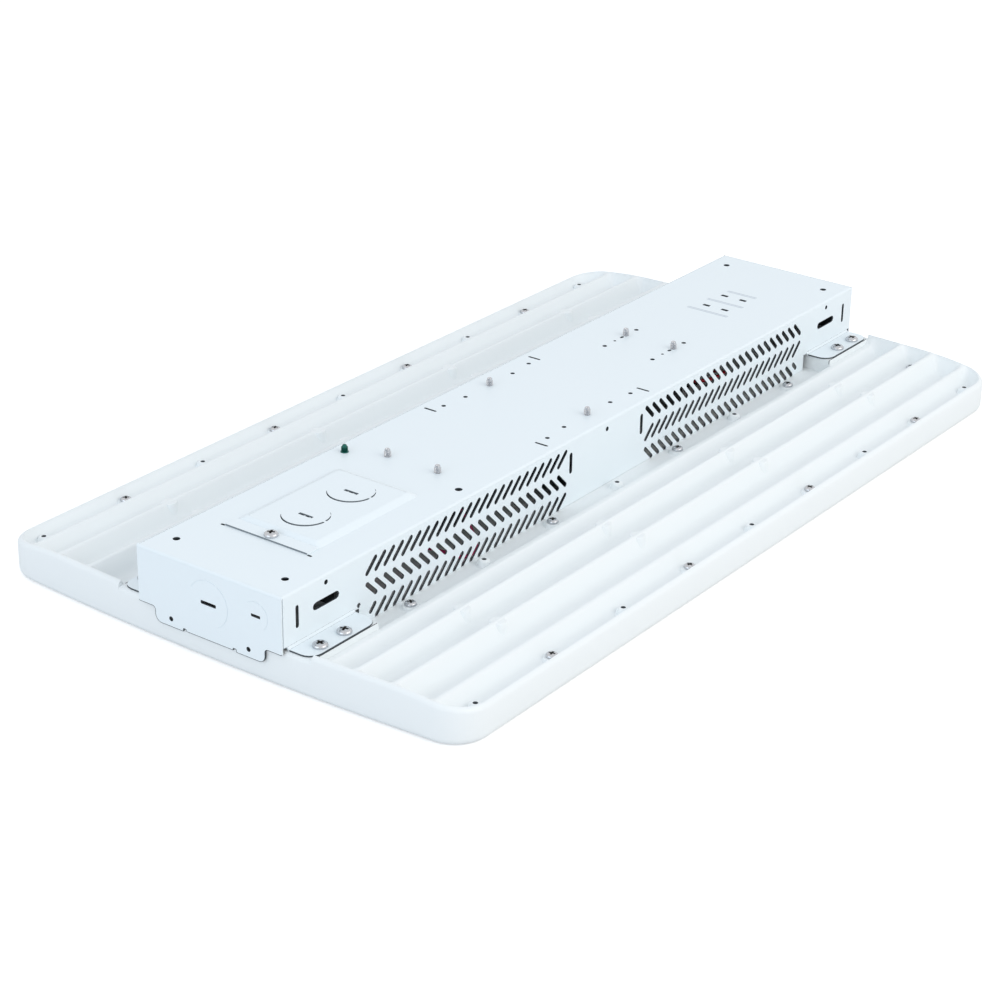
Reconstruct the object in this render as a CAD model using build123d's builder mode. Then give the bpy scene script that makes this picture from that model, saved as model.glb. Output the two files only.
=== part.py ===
"""Two-foot LED high bay light, lying on its lens with the driver box on top.

Units are millimetres. The origin is the centre of the tray's underside,
+X runs along the light, +Y across it and +Z up, out of the driver box.
An inset is measured inward from the end or side of the piece it belongs to.
"""
from build123d import *
import math
import os

os.makedirs("parts", exist_ok=True)

# Tray: one moulding with bowed ends, lengthwise ridges and valleys
tray_length = 607.6
tray_width = 341.2
end_bow = 6.7
plan_corner_radius = 22.0
base_edge_chamfer = 3.4
rim_wall = 2.9
ridge_top = 26.9
rim_fall = 5.3
rim_fall_width = 58.0
valley_floor = 14.0
floor_thickness = 2.5
valley_pitch = 24.6
valley_count = 4
valley_top_width = 19.2
valley_floor_width = 13.4
valley_chamfer = 2.6
outer_valley_inset = 10.1
skirt_wall = 3.2
foot_shelf_height = 24.0
foot_shelf_inset = 57.8

# Tray bosses and screws, all on one lengthwise pitch
row_end_inset = 29.0
row_steps = 8
inner_row_gap = 8.8
outer_pad_height = 0.8
outer_pad_radius = 5.0
pilot_boss_height = 2.4
pilot_boss_radius = 3.6
ridge_boss_radius = 5.0
ridge_boss_drop = 0.9
end_screw_inset = 12.8
boss_sides = 6
hole_sides = 6
shank_sides = 4
ring_sides = 12

# Driver channel: one folded sheet
sheet = 1.0
bend_radius = 1.5
flap_overhang = 1.2
channel_clearance = 18.3
channel_top = 57.3
flap_gap = 0.7
flap_shoulder = 22.2
tongue_inset = 12.7
tongue_bottom = 13.3
tongue_corner = 2.6
hem_notch_y = 18.5
hem_notch_width = 2.2
hem_notch_depth = 1.6
foot_end_inset = 4.0
foot_length = 56.0
foot_width = 17.4
foot_corner = 5.0
foot_screw_insets = (37.7, 17.5)
foot_screw_gap = 11.6
wall_relief_width = 4.0
corner_relief_radius = 1.5
corner_relief_height = 26.5

# Vents: three rows of slanted slots in each of two groups
vent_rows = (47.5, 33.2, 18.9)
vent_first_x = 47.7
vent_pitch = 7.92
vent_end_inset = 75.0
vent_length = 13.0
vent_width = 2.8
vent_slant = 45.0
short_vent_shift = 0.96
short_vent_z = 20.9
short_vent_length = 8.0
closing_slot_x = 38.5
closing_slot_height = 13.8
closing_slot_z = 41.9

# Other openings in the walls and flaps
side_slot_inset = 12.5
side_slot_z = 41.3
side_slot_height = 13.7
side_slot_width = 2.4
long_slot_inset = 36.4
long_slot_length = 21.9
long_slot_width = 4.5
side_hole_inset = 36.6
side_hole_z = 52.5
low_hole_inset = 64.0
low_hole_z = 27.0
mid_hole_z = 51.6
flap_hole = (28.7, 18.3)
small_hole_radius = 1.4

# Openings in the top
corner_hole_end_inset = 18.5
corner_hole_side_inset = 13.4
corner_hole_radius = 2.1
ground_hole_gap = 21.0
ground_hole_inset = 10.2
plate_holes = ((45.0, 40.0), (25.0, 38.2))
spare_driver_steps = (12.7, -24.8)
cross_slot = (55.0, 42.8)
cross_slot_length = 9.5
cross_slot_width = 1.5
window_insets = (96.4, 72.8)
window_y = 7.4
window_length = 5.2
window_width = 2.6

# Knockouts: discs held in the sheet by two ties
knockout_radius = 14.3
knockout_gap = 0.5
knockout_tie = 3.0
pry_length = 11.0
pry_width = 2.0
end_knockout_z = 36.6
small_knockout_inset = 18.8
small_knockout_z = 40.5
small_knockout_radius = 8.8
small_pry_length = 6.4
small_pry_width = 1.6

# Access cover over the wiring space
cover_inset = 48.0
cover_length = 98.5
cover_half_width = 30.5
cover_rise = 2.5
cover_slope_run = 4.5
cover_strip = 9.0
cover_knockout_offsets = (34.0, 74.0)
cover_pry_length = 10.0
opening_margin = 3.0
cover_notch_length = 3.0
cover_notch_width = 1.4

# Screws
head_sides = 6
tray_head_radius = 3.6
tray_head_height = 2.3
tray_shank_radius = 1.5
tray_shank_length = 8.0
foot_head_radius = 4.5
foot_head_height = 2.6
foot_shank_radius = 2.0
foot_shank_length = 7.0
cover_head_radius = 4.2
cover_shank_length = 6.0
ground_head_radius = 3.4
ground_head_height = 3.6
head_taper = 16.0
shank_clearance = 0.2

# Lens and light sources
lens_thickness = 2.0
lens_recess = 0.6
lens_inset = 6.2
lens_gap = 0.3
lens_boss_radius = 3.2
board_thickness = 1.6
board_screw_gap = 5.8
board_side_inset = 16.6
board_end_inset = 21.8
chip_size = 5.0
chip_height = 0.7
chip_rows = 2
chip_columns = 8
terminal_length = 14.0
terminal_width = 7.0
terminal_height = 3.6

# Driver, hung from the top sheet by six screws
driver_cover_gap = 40.5
driver_half_width = 33.0
driver_bottom = 22.0
driver_edge_chamfer = 1.6
driver_plate = 1.2
driver_ear = 16.0
driver_lug_width = 14.0
driver_lug_reach = 43.0
driver_end_screw_step = 8.5
driver_end_screw_y = 19.0
driver_mid_screw_y = 38.0
driver_shank_radius = 2.0
driver_screw_tip = 5.2
driver_head_radius = 3.6
driver_head_height = 2.4

# Selector switches under the windows
switch_length = 9.0
switch_width = 5.0
switch_height = 5.0
switch_board_thickness = 1.6
switch_board_margin = 9.0
spacer_radius = 2.5

# Wires, connectors and the grommet in the tray floor
wire_radius = 1.1
wire_sides = 4
wire_bend = 5.0
wire_bend_share = 0.45
wire_height = 38.0
wire_turn_run = 28.0
wire_drop_run = 58.0
grommet_run = 54.0
grommet_bore = 7.3
grommet_neck = 8.6
grommet_flange = 10.6
grommet_flange_height = 1.2
output_height = 30.0
output_slope_run = 22.0
output_drop = 3.0
output_spread_x = 1.5
red_spread_y = 1.6
black_spread_y = 4.8
connector_length = 18.0
connector_width = 11.0
connector_height = 8.5
connector_count = 4
connector_pitch = 15.0

# Sizes that follow: tray
half_length = tray_length / 2
half_width = tray_width / 2
floor_underside = valley_floor - floor_thickness
valley_ys = [half_width - outer_valley_inset - valley_pitch * k for k in range(valley_count)]
ridge_ys = [y - valley_pitch / 2 for y in valley_ys]
valley_slope = (valley_top_width - valley_floor_width) / 2 / (ridge_top - valley_floor)
bay_top_half = valley_ys[-1] - valley_pitch + valley_top_width / 2
foot_shelf_start = half_length - foot_shelf_inset
fall_start = half_width - rim_fall_width
fall_radius = (rim_fall_width**2 + rim_fall**2) / (2 * rim_fall)
outer_reach = rim_fall_width + rim_wall
outer_fall = fall_radius - math.sqrt(fall_radius**2 - outer_reach**2)
lens_top = lens_recess + lens_thickness

# Sizes that follow: driver channel and its cover
channel_half_length = half_length + flap_overhang
channel_half_width = bay_top_half - channel_clearance
sheet_under = channel_top - sheet
tongue_half_width = channel_half_width - tongue_inset
foot_end = channel_half_length - foot_end_inset
foot_start = foot_end - foot_length
foot_reach = channel_half_width + foot_width
cover_near = cover_inset - channel_half_length
cover_far = cover_near + cover_length
cover_screw_x = cover_near + cover_strip / 2
cover_knockout_xs = [cover_near + offset for offset in cover_knockout_offsets]
window_xs = [channel_half_length - inset for inset in window_insets]
vent_count = int((channel_half_length - vent_end_inset - vent_first_x) / vent_pitch) + 1
vent_xs = [vent_first_x + vent_pitch * k for k in range(vent_count)]
driver_half_length = -cover_far - driver_cover_gap
driver_end_screw_x = driver_half_length + driver_end_screw_step
spare_driver_holes = [(driver_end_screw_x + step, driver_end_screw_y) for step in spare_driver_steps]

# Sizes that follow: rows of screws, bosses and holes
screw_pitch = (tray_length - 2 * row_end_inset) / row_steps
screw_xs = [-3 * screw_pitch, -screw_pitch, screw_pitch, 3 * screw_pitch]
inner_pilot_xs = [-2 * screw_pitch, 0, 2 * screw_pitch]
outer_pilot_xs = [-4 * screw_pitch, -2 * screw_pitch, 0, 2 * screw_pitch, 4 * screw_pitch]
inner_row_y = channel_half_width + inner_row_gap
end_screw_x = half_length - end_screw_inset
inner_row = [(x, y) for x in screw_xs for y in (-inner_row_y, inner_row_y)]
outer_row = [(x, y) for x in screw_xs for y in (-valley_ys[0], valley_ys[0])]
end_row = [(x, y) for x in (-end_screw_x, end_screw_x) for y in (-valley_ys[2], valley_ys[2])]
lens_screw_places = inner_row + outer_row + end_row
pilot_places = [(x, y) for x in inner_pilot_xs for y in (-inner_row_y, inner_row_y)]
pilot_places += [(x, y) for x in outer_pilot_xs for y in (-valley_ys[0], valley_ys[0])]
ridge_boss_places = [(x, s * y) for x in screw_xs for y in ridge_ys[1:3] for s in (-1, 1)]
foot_screw_y = channel_half_width + foot_screw_gap
foot_screw_xs = [s * (channel_half_length - inset) for inset in foot_screw_insets for s in (-1, 1)]
foot_screw_places = [(x, y) for x in foot_screw_xs for y in (-foot_screw_y, foot_screw_y)]
spare_ground_place = (cover_far + ground_hole_gap, ground_hole_inset - channel_half_width)
ground_screw_place = (spare_ground_place[0], -spare_ground_place[1])
driver_screw_places = [(s * driver_end_screw_x, t * driver_end_screw_y) for s in (-1, 1) for t in (-1, 1)]
driver_screw_places += [(0, -driver_mid_screw_y), (0, driver_mid_screw_y)]
tray_hole_radius = tray_shank_radius + shank_clearance
foot_hole_radius = foot_shank_radius + shank_clearance

# Sizes that follow: parts inside
board_inner_y = inner_row_y + board_screw_gap
board_outer_y = half_width - board_side_inset
board_half_length = half_length - board_end_inset
grommet_x = driver_half_length + grommet_run
connector_x = cover_knockout_xs[0]


def mirrored(points, across_x=True, across_y=True):
    """Copies of the points on every side of the axes that are asked for."""
    xs = (-1, 1) if across_x else (1,)
    ys = (-1, 1) if across_y else (1,)
    return [(a * x, b * y) for x, y in points for a in xs for b in ys]


def ring_gap(radius, tie_angle):
    """Sketch of the narrow cut around a knockout, open at its two ties."""
    RegularPolygon(radius, ring_sides)
    RegularPolygon(radius - knockout_gap, ring_sides, mode=Mode.SUBTRACT)
    Rectangle(knockout_tie, 2 * radius + knockout_tie, rotation=tie_angle, mode=Mode.SUBTRACT)


def screws(places, seat, head_radius, head_height, shank_radius, shank_length, turn=1, sides=shank_sides):
    """Group of pan-head screws on one seat; a turn of 1 has the heads up, -1 has them down."""
    with BuildPart() as group:
        with BuildSketch(Plane.XY.offset(seat)):
            with Locations(*places):
                RegularPolygon(head_radius, head_sides)
        extrude(amount=turn * head_height, taper=head_taper)
        with BuildSketch(Plane.XY.offset(seat)):
            with Locations(*places):
                RegularPolygon(shank_radius, sides)
        extrude(amount=-turn * shank_length)
    return group


def lead(points):
    """Short lead inside the housing: runs with each corner cut off by a shorter run."""
    route = [points[0]]
    for before, here, after in zip(points, points[1:], points[2:]):
        arriving = Vector(*here) - Vector(*before)
        leaving = Vector(*after) - Vector(*here)
        cut = min(wire_bend, wire_bend_share * min(arriving.length, leaving.length))
        route.append(tuple(Vector(*here) - arriving.normalized() * cut))
        route.append(tuple(Vector(*here) + leaving.normalized() * cut))
    route.append(points[-1])
    with BuildPart() as wire:
        with BuildLine():
            Polyline(*route)
        with BuildSketch(Plane(origin=route[0], z_dir=Vector(*route[1]) - Vector(*route[0]))):
            RegularPolygon(wire_radius, wire_sides)
        sweep(transition=Transition.RIGHT)
    section = wire_sides / 2 * wire_radius**2 * math.sin(2 * math.pi / wire_sides)
    length = sum((Vector(*b) - Vector(*a)).length for a, b in zip(route, route[1:]))
    print("lead volume over section times length", round(wire.part.volume / (section * length), 3))
    return wire


# Plan of the tray: straight long sides, bowed ends, round corners
with BuildSketch() as plan:
    with BuildLine():
        shoulder = half_length - end_bow
        right_end = ThreePointArc((shoulder, -half_width), (half_length, 0), (shoulder, half_width))
        left_end = ThreePointArc((-shoulder, half_width), (-half_length, 0), (-shoulder, -half_width))
        Line(right_end @ 1, left_end @ 0)
        Line(left_end @ 1, right_end @ 0)
    make_face()
    fillet(plan.vertices(), radius=plan_corner_radius)

# Valleys between the ridges, closed by the rim
with BuildPart() as valleys:
    with BuildSketch(Plane.YZ):
        for side in (-1, 1):
            for y in valley_ys:
                with BuildLine():
                    rise = rim_fall + ridge_top - valley_floor
                    reach = valley_floor_width / 2 + valley_slope * rise
                    Polyline(
                        (side * y - valley_floor_width / 2, valley_floor),
                        (side * y + valley_floor_width / 2, valley_floor),
                        (side * y + reach, valley_floor + rise),
                        (side * y - reach, valley_floor + rise),
                        close=True,
                    )
                make_face()
    extrude(amount=half_length, both=True)
    chamfer(valleys.edges().filter_by(Axis.X).group_by(Axis.Z)[0], length=valley_chamfer)
    with BuildSketch(Plane.XY.offset(valley_floor)):
        add(plan.sketch)
        offset(amount=-rim_wall)
    extrude(amount=2 * ridge_top, mode=Mode.INTERSECT)

# Bay that the driver channel stands in, between the two middle ridges
with BuildPart() as bay:
    for bottom, reach in ((valley_floor, foot_shelf_start), (foot_shelf_height, half_length + 1)):
        with BuildSketch(Plane.YZ):
            with BuildLine():
                foot_half = bay_top_half - valley_slope * (ridge_top - bottom)
                top_half = bay_top_half + valley_slope * rim_fall
                Polyline(
                    (-foot_half, bottom),
                    (foot_half, bottom),
                    (top_half, ridge_top + rim_fall),
                    (-top_half, ridge_top + rim_fall),
                    close=True,
                )
            make_face()
        extrude(amount=reach, both=True)

with BuildPart() as tray:
    with BuildSketch():
        add(plan.sketch)
    extrude(amount=2 * ridge_top)
    with BuildSketch(Plane.YZ):
        with BuildLine():
            profile_end = fall_start + outer_reach
            fall_end = ridge_top - outer_fall
            TangentArc((fall_start, ridge_top), (profile_end, fall_end), tangent=(1, 0))
            TangentArc((-fall_start, ridge_top), (-profile_end, fall_end), tangent=(-1, 0))
            Line((-fall_start, ridge_top), (fall_start, ridge_top))
            Polyline((profile_end, fall_end), (profile_end, 0), (-profile_end, 0), (-profile_end, fall_end))
        make_face()
    extrude(amount=half_length + 1, both=True, mode=Mode.INTERSECT)
    chamfer(tray.faces().sort_by(Axis.Z)[0].edges(), length=base_edge_chamfer)
    add(valleys.part, mode=Mode.SUBTRACT)
    add(bay.part, mode=Mode.SUBTRACT)
    # Pads, pilot bosses and ridge bosses
    with BuildSketch(Plane.XY.offset(valley_floor)):
        with Locations(*outer_row):
            RegularPolygon(outer_pad_radius, boss_sides)
    extrude(amount=outer_pad_height)
    with BuildSketch(Plane.XY.offset(valley_floor)):
        with Locations(*pilot_places):
            RegularPolygon(pilot_boss_radius, boss_sides)
    extrude(amount=pilot_boss_height)
    with BuildSketch(Plane.XY.offset(valley_floor)):
        with Locations(*ridge_boss_places):
            RegularPolygon(ridge_boss_radius, boss_sides, rotation=90)
    extrude(amount=ridge_top - ridge_boss_drop - valley_floor)
    # Chamber for the boards and the step that takes the lens
    with BuildSketch(Plane.XY.offset(lens_top)):
        add(plan.sketch)
        offset(amount=-skirt_wall)
    extrude(amount=floor_underside - lens_top, mode=Mode.SUBTRACT)
    with BuildSketch():
        add(plan.sketch)
        offset(amount=-lens_inset)
    extrude(amount=lens_top, mode=Mode.SUBTRACT)
    # Screw holes and the way for the output leads
    with BuildSketch(Plane.XY.offset(floor_underside)):
        with Locations(*lens_screw_places):
            RegularPolygon(tray_hole_radius, shank_sides)
        with Locations((grommet_x, 0)):
            RegularPolygon(grommet_neck, ring_sides)
    extrude(amount=floor_thickness + outer_pad_height, mode=Mode.SUBTRACT)
    with BuildSketch(Plane.XY.offset(foot_shelf_height)):
        with Locations(*foot_screw_places):
            RegularPolygon(foot_hole_radius, shank_sides)
    extrude(amount=-foot_shank_length, mode=Mode.SUBTRACT)

with BuildPart() as driver_channel:
    # Top and side walls
    with BuildSketch(Plane.YZ):
        with Locations((0, channel_top)):
            Rectangle(2 * channel_half_width, channel_top - valley_floor, align=(Align.CENTER, Align.MAX))
    extrude(amount=channel_half_length - sheet - flap_gap, both=True)
    fillet(driver_channel.edges().filter_by(Axis.X).group_by(Axis.Z)[-1], radius=bend_radius)
    with BuildSketch():
        Rectangle(2 * channel_half_length, 2 * (channel_half_width - sheet))
    extrude(amount=sheet_under, mode=Mode.SUBTRACT)
    # Top and end flaps, a little narrower so that a seam stays open at each corner
    with BuildPart(mode=Mode.PRIVATE) as end_flaps:
        with BuildSketch(Plane.XZ):
            with Locations((0, channel_top)):
                end_height = channel_top - tongue_bottom
                Rectangle(2 * channel_half_length, end_height, align=(Align.CENTER, Align.MAX))
        extrude(amount=channel_half_width - flap_gap, both=True)
        fillet(end_flaps.edges().filter_by(Axis.Y).group_by(Axis.Z)[-1], radius=bend_radius)
        with BuildSketch():
            Rectangle(2 * (channel_half_length - sheet), 2 * channel_half_width)
        extrude(amount=sheet_under, mode=Mode.SUBTRACT)
    add(end_flaps.part)
    # Lower edges: foot ends of the walls, then the tongues of the flaps
    for side in (-1, 1):
        with BuildSketch(Plane.XY):
            with Locations((side * (foot_start - wall_relief_width), 0)):
                keep_end = (Align.MIN, Align.CENTER) if side > 0 else (Align.MAX, Align.CENTER)
                end_length = channel_half_length - sheet - foot_start + wall_relief_width
                Rectangle(end_length, 2 * channel_half_width + 2, align=keep_end)
        extrude(amount=foot_shelf_height + sheet, mode=Mode.SUBTRACT)
        with BuildSketch(Plane.XY):
            with Locations(*((side * channel_half_length, t * channel_half_width) for t in (-1, 1))):
                Rectangle(4 * sheet, 2 * (channel_half_width - tongue_half_width))
        extrude(amount=flap_shoulder, mode=Mode.SUBTRACT)
    lengthwise = driver_channel.edges().filter_by(Axis.X)
    chamfer(lengthwise.filter_by(lambda edge: edge.center().Z < valley_floor), length=tongue_corner)
    # Feet, folded outward from the ends of the walls
    for x_side in (-1, 1):
        for y_side in (-1, 1):
            with BuildSketch(Plane.YZ.offset(x_side * foot_start)):
                with BuildLine():
                    Polyline(
                        (y_side * (channel_half_width - sheet), foot_shelf_height),
                        (y_side * foot_reach, foot_shelf_height),
                        (y_side * foot_reach, foot_shelf_height + sheet),
                        (y_side * channel_half_width, foot_shelf_height + sheet),
                        (y_side * channel_half_width, foot_shelf_height + 2 * sheet),
                        (y_side * (channel_half_width - sheet), foot_shelf_height + 2 * sheet),
                        close=True,
                    )
                make_face()
            extrude(amount=x_side * (foot_end - foot_start))
    with BuildSketch(Plane.XY.offset(foot_shelf_height)):
        with Locations(*foot_screw_places):
            RegularPolygon(foot_hole_radius, shank_sides)
    extrude(amount=sheet, mode=Mode.SUBTRACT)
    upright = driver_channel.edges().filter_by(Axis.Z)
    foot_corners = upright.filter_by(lambda edge: abs(edge.center().Y) > foot_reach - sheet)
    chamfer(foot_corners, length=foot_corner)
    # Vents and slots, cut through both walls at once
    with BuildSketch(Plane.XZ):
        for group in (-1, 1):
            for row, z in enumerate(vent_rows):
                lean = -group if row != 1 else group
                row_xs = vent_xs[:-1] if row == len(vent_rows) - 1 else vent_xs
                places = [(group * x, z) for x in row_xs]
                with Locations(*places):
                    Rectangle(vent_length, vent_width, rotation=lean * vent_slant)
            with Locations((group * (vent_xs[-1] - short_vent_shift), short_vent_z)):
                Rectangle(short_vent_length, vent_width, rotation=-group * vent_slant)
            with Locations((group * closing_slot_x, closing_slot_z)):
                Rectangle(vent_width, closing_slot_height)
            with Locations((group * (channel_half_length - side_slot_inset), side_slot_z)):
                Rectangle(side_slot_width, side_slot_height)
            with Locations((group * (channel_half_length - long_slot_inset), side_slot_z)):
                SlotOverall(long_slot_length, long_slot_width)
            with Locations((group * (channel_half_length - side_hole_inset), side_hole_z)):
                RegularPolygon(small_hole_radius, hole_sides)
        with Locations((low_hole_inset - channel_half_length, low_hole_z), (0, mid_hole_z)):
            RegularPolygon(small_hole_radius, hole_sides)
    extrude(amount=channel_half_width + 1, both=True, mode=Mode.SUBTRACT)
    # Holes in the top
    with BuildSketch(Plane.XY.offset(sheet_under)):
        corner_hole_x = channel_half_length - corner_hole_end_inset
        corner_hole_y = channel_half_width - corner_hole_side_inset
        with Locations(*mirrored([(corner_hole_x, corner_hole_y)])):
            Circle(corner_hole_radius)
        spare_places = mirrored(spare_driver_holes, across_x=False) + [spare_ground_place]
        with Locations(*mirrored(plate_holes), *spare_places):
            RegularPolygon(small_hole_radius, hole_sides)
        with Locations(*driver_screw_places):
            RegularPolygon(driver_shank_radius, hole_sides)
        with Locations(ground_screw_place, (cover_screw_x, 0)):
            RegularPolygon(foot_shank_radius, shank_sides)
        with Locations(*mirrored([cross_slot])):
            Rectangle(cross_slot_width, cross_slot_length)
        with Locations(*[(x, s * window_y) for x in window_xs for s in (-1, 1)]):
            Rectangle(window_width, window_length)
        opening_near = cover_near + cover_strip + cover_slope_run
        opening_far = cover_far - cover_slope_run
        with Locations(((opening_near + opening_far) / 2, 0)):
            opening_half = cover_half_width - cover_slope_run - opening_margin
            Rectangle(opening_far - opening_near, 2 * opening_half)
        with Locations(*[(cover_near, s * (cover_half_width + cover_notch_length / 2)) for s in (-1, 1)]):
            Rectangle(cover_notch_width, cover_notch_length)
    extrude(amount=sheet, mode=Mode.SUBTRACT)
    # Knockouts, holes and notches in the end flaps
    for side in (-1, 1):
        with BuildSketch(Plane.YZ.offset(side * channel_half_length)):
            with Locations((0, end_knockout_z)):
                ring_gap(knockout_radius, 0)
                Rectangle(pry_length, pry_width)
            with Locations((side * (channel_half_width - small_knockout_inset), small_knockout_z)):
                ring_gap(small_knockout_radius, 0)
                Rectangle(small_pry_length, small_pry_width)
            with Locations((-flap_hole[0], flap_hole[1]), flap_hole):
                RegularPolygon(small_hole_radius, hole_sides)
            with Locations((-hem_notch_y, tongue_bottom), (hem_notch_y, tongue_bottom)):
                Rectangle(hem_notch_width, 2 * hem_notch_depth)
            with Locations(*[(s * channel_half_width, corner_relief_height) for s in (-1, 1)]):
                RegularPolygon(corner_relief_radius, hole_sides)
        extrude(amount=-side * 2 * sheet, mode=Mode.SUBTRACT)

with BuildPart() as access_cover:
    slope_shift = sheet * math.hypot(cover_slope_run, cover_rise) / cover_rise
    pan_near = cover_near + cover_strip - cover_slope_run * sheet / cover_rise
    pan_length = cover_far - pan_near
    pan_centre = (cover_far + pan_near) / 2
    # Flat strip under the screw
    with BuildSketch(Plane.XY.offset(channel_top)):
        with Locations((cover_near, 0)):
            strip_length = cover_strip + cover_slope_run
            Rectangle(strip_length, 2 * cover_half_width, align=(Align.MIN, Align.CENTER))
    extrude(amount=sheet)
    # Raised pan with sloped sides
    for shrink, drop, cut in ((0, 0, Mode.ADD), (slope_shift, sheet, Mode.SUBTRACT)):
        for level in (0, 1):
            run = cover_slope_run * (cover_rise - drop) / cover_rise * level + shrink
            with BuildSketch(Plane.XY.offset(channel_top + (cover_rise - drop) * level)):
                with Locations((pan_centre, 0)):
                    Rectangle(pan_length - 2 * run, 2 * (cover_half_width - run))
        loft(mode=cut)
    # Knockouts and the screw hole
    with BuildSketch(Plane.XY.offset(channel_top)):
        with Locations(*[(x, 0) for x in cover_knockout_xs]):
            ring_gap(knockout_radius, 90)
            Rectangle(pry_width, cover_pry_length)
        with Locations((cover_screw_x, 0)):
            RegularPolygon(foot_hole_radius, shank_sides)
    extrude(amount=cover_rise, mode=Mode.SUBTRACT)

with BuildPart() as lens:
    with BuildSketch(Plane.XY.offset(lens_recess)):
        add(plan.sketch)
        offset(amount=-(lens_inset + lens_gap))
    extrude(amount=lens_thickness)
    with BuildSketch(Plane.XY.offset(lens_top)):
        with Locations(*lens_screw_places):
            RegularPolygon(lens_boss_radius, shank_sides)
    extrude(amount=floor_underside - lens_top)
    with BuildSketch(Plane.XY.offset(floor_underside)):
        with Locations(*lens_screw_places):
            RegularPolygon(tray_shank_radius, shank_sides)
    extrude(amount=-(floor_underside - lens_top), mode=Mode.SUBTRACT)


def led_board(side):
    """Board under one wing of the tray."""
    with BuildPart() as board:
        with BuildSketch(Plane.XY.offset(floor_underside)):
            with Locations((0, side * (board_inner_y + board_outer_y) / 2)):
                Rectangle(2 * board_half_length, board_outer_y - board_inner_y)
        extrude(amount=-board_thickness)
    return board


def led_chips(side):
    """Light sources soldered to one board, each a separate solid."""
    with BuildPart() as chips:
        with BuildSketch(Plane.XY.offset(floor_underside - board_thickness)):
            row_pitch = (board_outer_y - board_inner_y) / chip_rows
            with Locations((0, side * (board_inner_y + board_outer_y) / 2)):
                with GridLocations(2 * board_half_length / chip_columns, row_pitch, chip_columns, chip_rows):
                    Rectangle(chip_size, chip_size)
        extrude(amount=-chip_height)
    return chips


led_board_left = led_board(1)
led_board_right = led_board(-1)
led_chips_left = led_chips(1)
led_chips_right = led_chips(-1)

with BuildPart() as board_terminals:
    with BuildSketch(Plane.XY.offset(floor_underside - board_thickness)):
        terminal_y = board_inner_y + terminal_width / 2
        with Locations((grommet_x, -terminal_y), (grommet_x, terminal_y)):
            Rectangle(terminal_length, terminal_width)
    extrude(amount=-terminal_height)

with BuildPart() as driver:
    with BuildSketch(Plane.XY.offset(sheet_under)):
        Rectangle(2 * (driver_half_length + driver_ear), 2 * driver_half_width)
        Rectangle(driver_lug_width, 2 * driver_lug_reach)
    extrude(amount=-driver_plate)
    with BuildSketch(Plane.XY.offset(sheet_under - driver_plate)):
        Rectangle(2 * driver_half_length, 2 * driver_half_width)
    extrude(amount=-(sheet_under - driver_plate - driver_bottom))
    chamfer(driver.edges().filter_by(Axis.X).group_by(Axis.Z)[0], length=driver_edge_chamfer)
    with BuildSketch(Plane.XY.offset(sheet_under)):
        with Locations(*driver_screw_places):
            RegularPolygon(driver_shank_radius, hole_sides)
    extrude(amount=-driver_plate, mode=Mode.SUBTRACT)

ear_under = sheet_under - driver_plate
driver_screws = screws(
    driver_screw_places,
    ear_under,
    driver_head_radius,
    driver_head_height,
    driver_shank_radius,
    driver_plate + sheet + driver_screw_tip,
    turn=-1,
    sides=hole_sides,
)
ground_screw = screws(
    [ground_screw_place],
    channel_top,
    ground_head_radius,
    ground_head_height,
    foot_shank_radius,
    cover_shank_length,
)
cover_screw = screws(
    [(cover_screw_x, 0)],
    channel_top + sheet,
    cover_head_radius,
    foot_head_height,
    foot_shank_radius,
    cover_shank_length,
)
foot_screws = screws(
    foot_screw_places,
    foot_shelf_height + sheet,
    foot_head_radius,
    foot_head_height,
    foot_shank_radius,
    foot_shank_length,
)
inner_screws = screws(
    inner_row, valley_floor, tray_head_radius, tray_head_height, tray_shank_radius, tray_shank_length
)
outer_screws = screws(
    outer_row,
    valley_floor + outer_pad_height,
    tray_head_radius,
    tray_head_height,
    tray_shank_radius,
    tray_shank_length,
)
end_screws = screws(
    end_row, valley_floor, tray_head_radius, tray_head_height, tray_shank_radius, tray_shank_length
)

# Slide switches under the four windows, their board and its two spacers
switch_middle_x = sum(window_xs) / 2
board_top = sheet_under - switch_height
with BuildPart() as selector_switches:
    with BuildSketch(Plane.XY.offset(sheet_under)):
        with Locations(*[(x, s * window_y) for x in window_xs for s in (-1, 1)]):
            Rectangle(switch_width, switch_length)
    extrude(amount=-switch_height)

with BuildPart() as switch_board:
    with BuildSketch(Plane.XY.offset(board_top)):
        with Locations((switch_middle_x, 0)):
            board_x = window_xs[1] - window_xs[0] + switch_width + 2 * switch_board_margin
            board_y = 2 * window_y + switch_length + 2 * switch_board_margin
            Rectangle(board_x, board_y)
    extrude(amount=-switch_board_thickness)

with BuildPart() as switch_spacers:
    with BuildSketch(Plane.XY.offset(sheet_under)):
        with Locations(*[(switch_middle_x, s * (board_y / 2 - spacer_radius - sheet)) for s in (-1, 1)]):
            RegularPolygon(spacer_radius, hole_sides)
    extrude(amount=-switch_height)

with BuildPart() as lead_grommet:
    with BuildSketch(Plane.XY.offset(floor_underside)):
        with Locations((grommet_x, 0)):
            RegularPolygon(grommet_neck, ring_sides)
    extrude(amount=floor_thickness)
    with BuildSketch(Plane.XY.offset(valley_floor)):
        with Locations((grommet_x, 0)):
            RegularPolygon(grommet_flange, ring_sides)
    extrude(amount=grommet_flange_height)
    with BuildSketch(Plane.XY.offset(floor_underside)):
        with Locations((grommet_x, 0)):
            RegularPolygon(grommet_bore, ring_sides)
    extrude(amount=floor_thickness + grommet_flange_height, mode=Mode.SUBTRACT)

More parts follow.
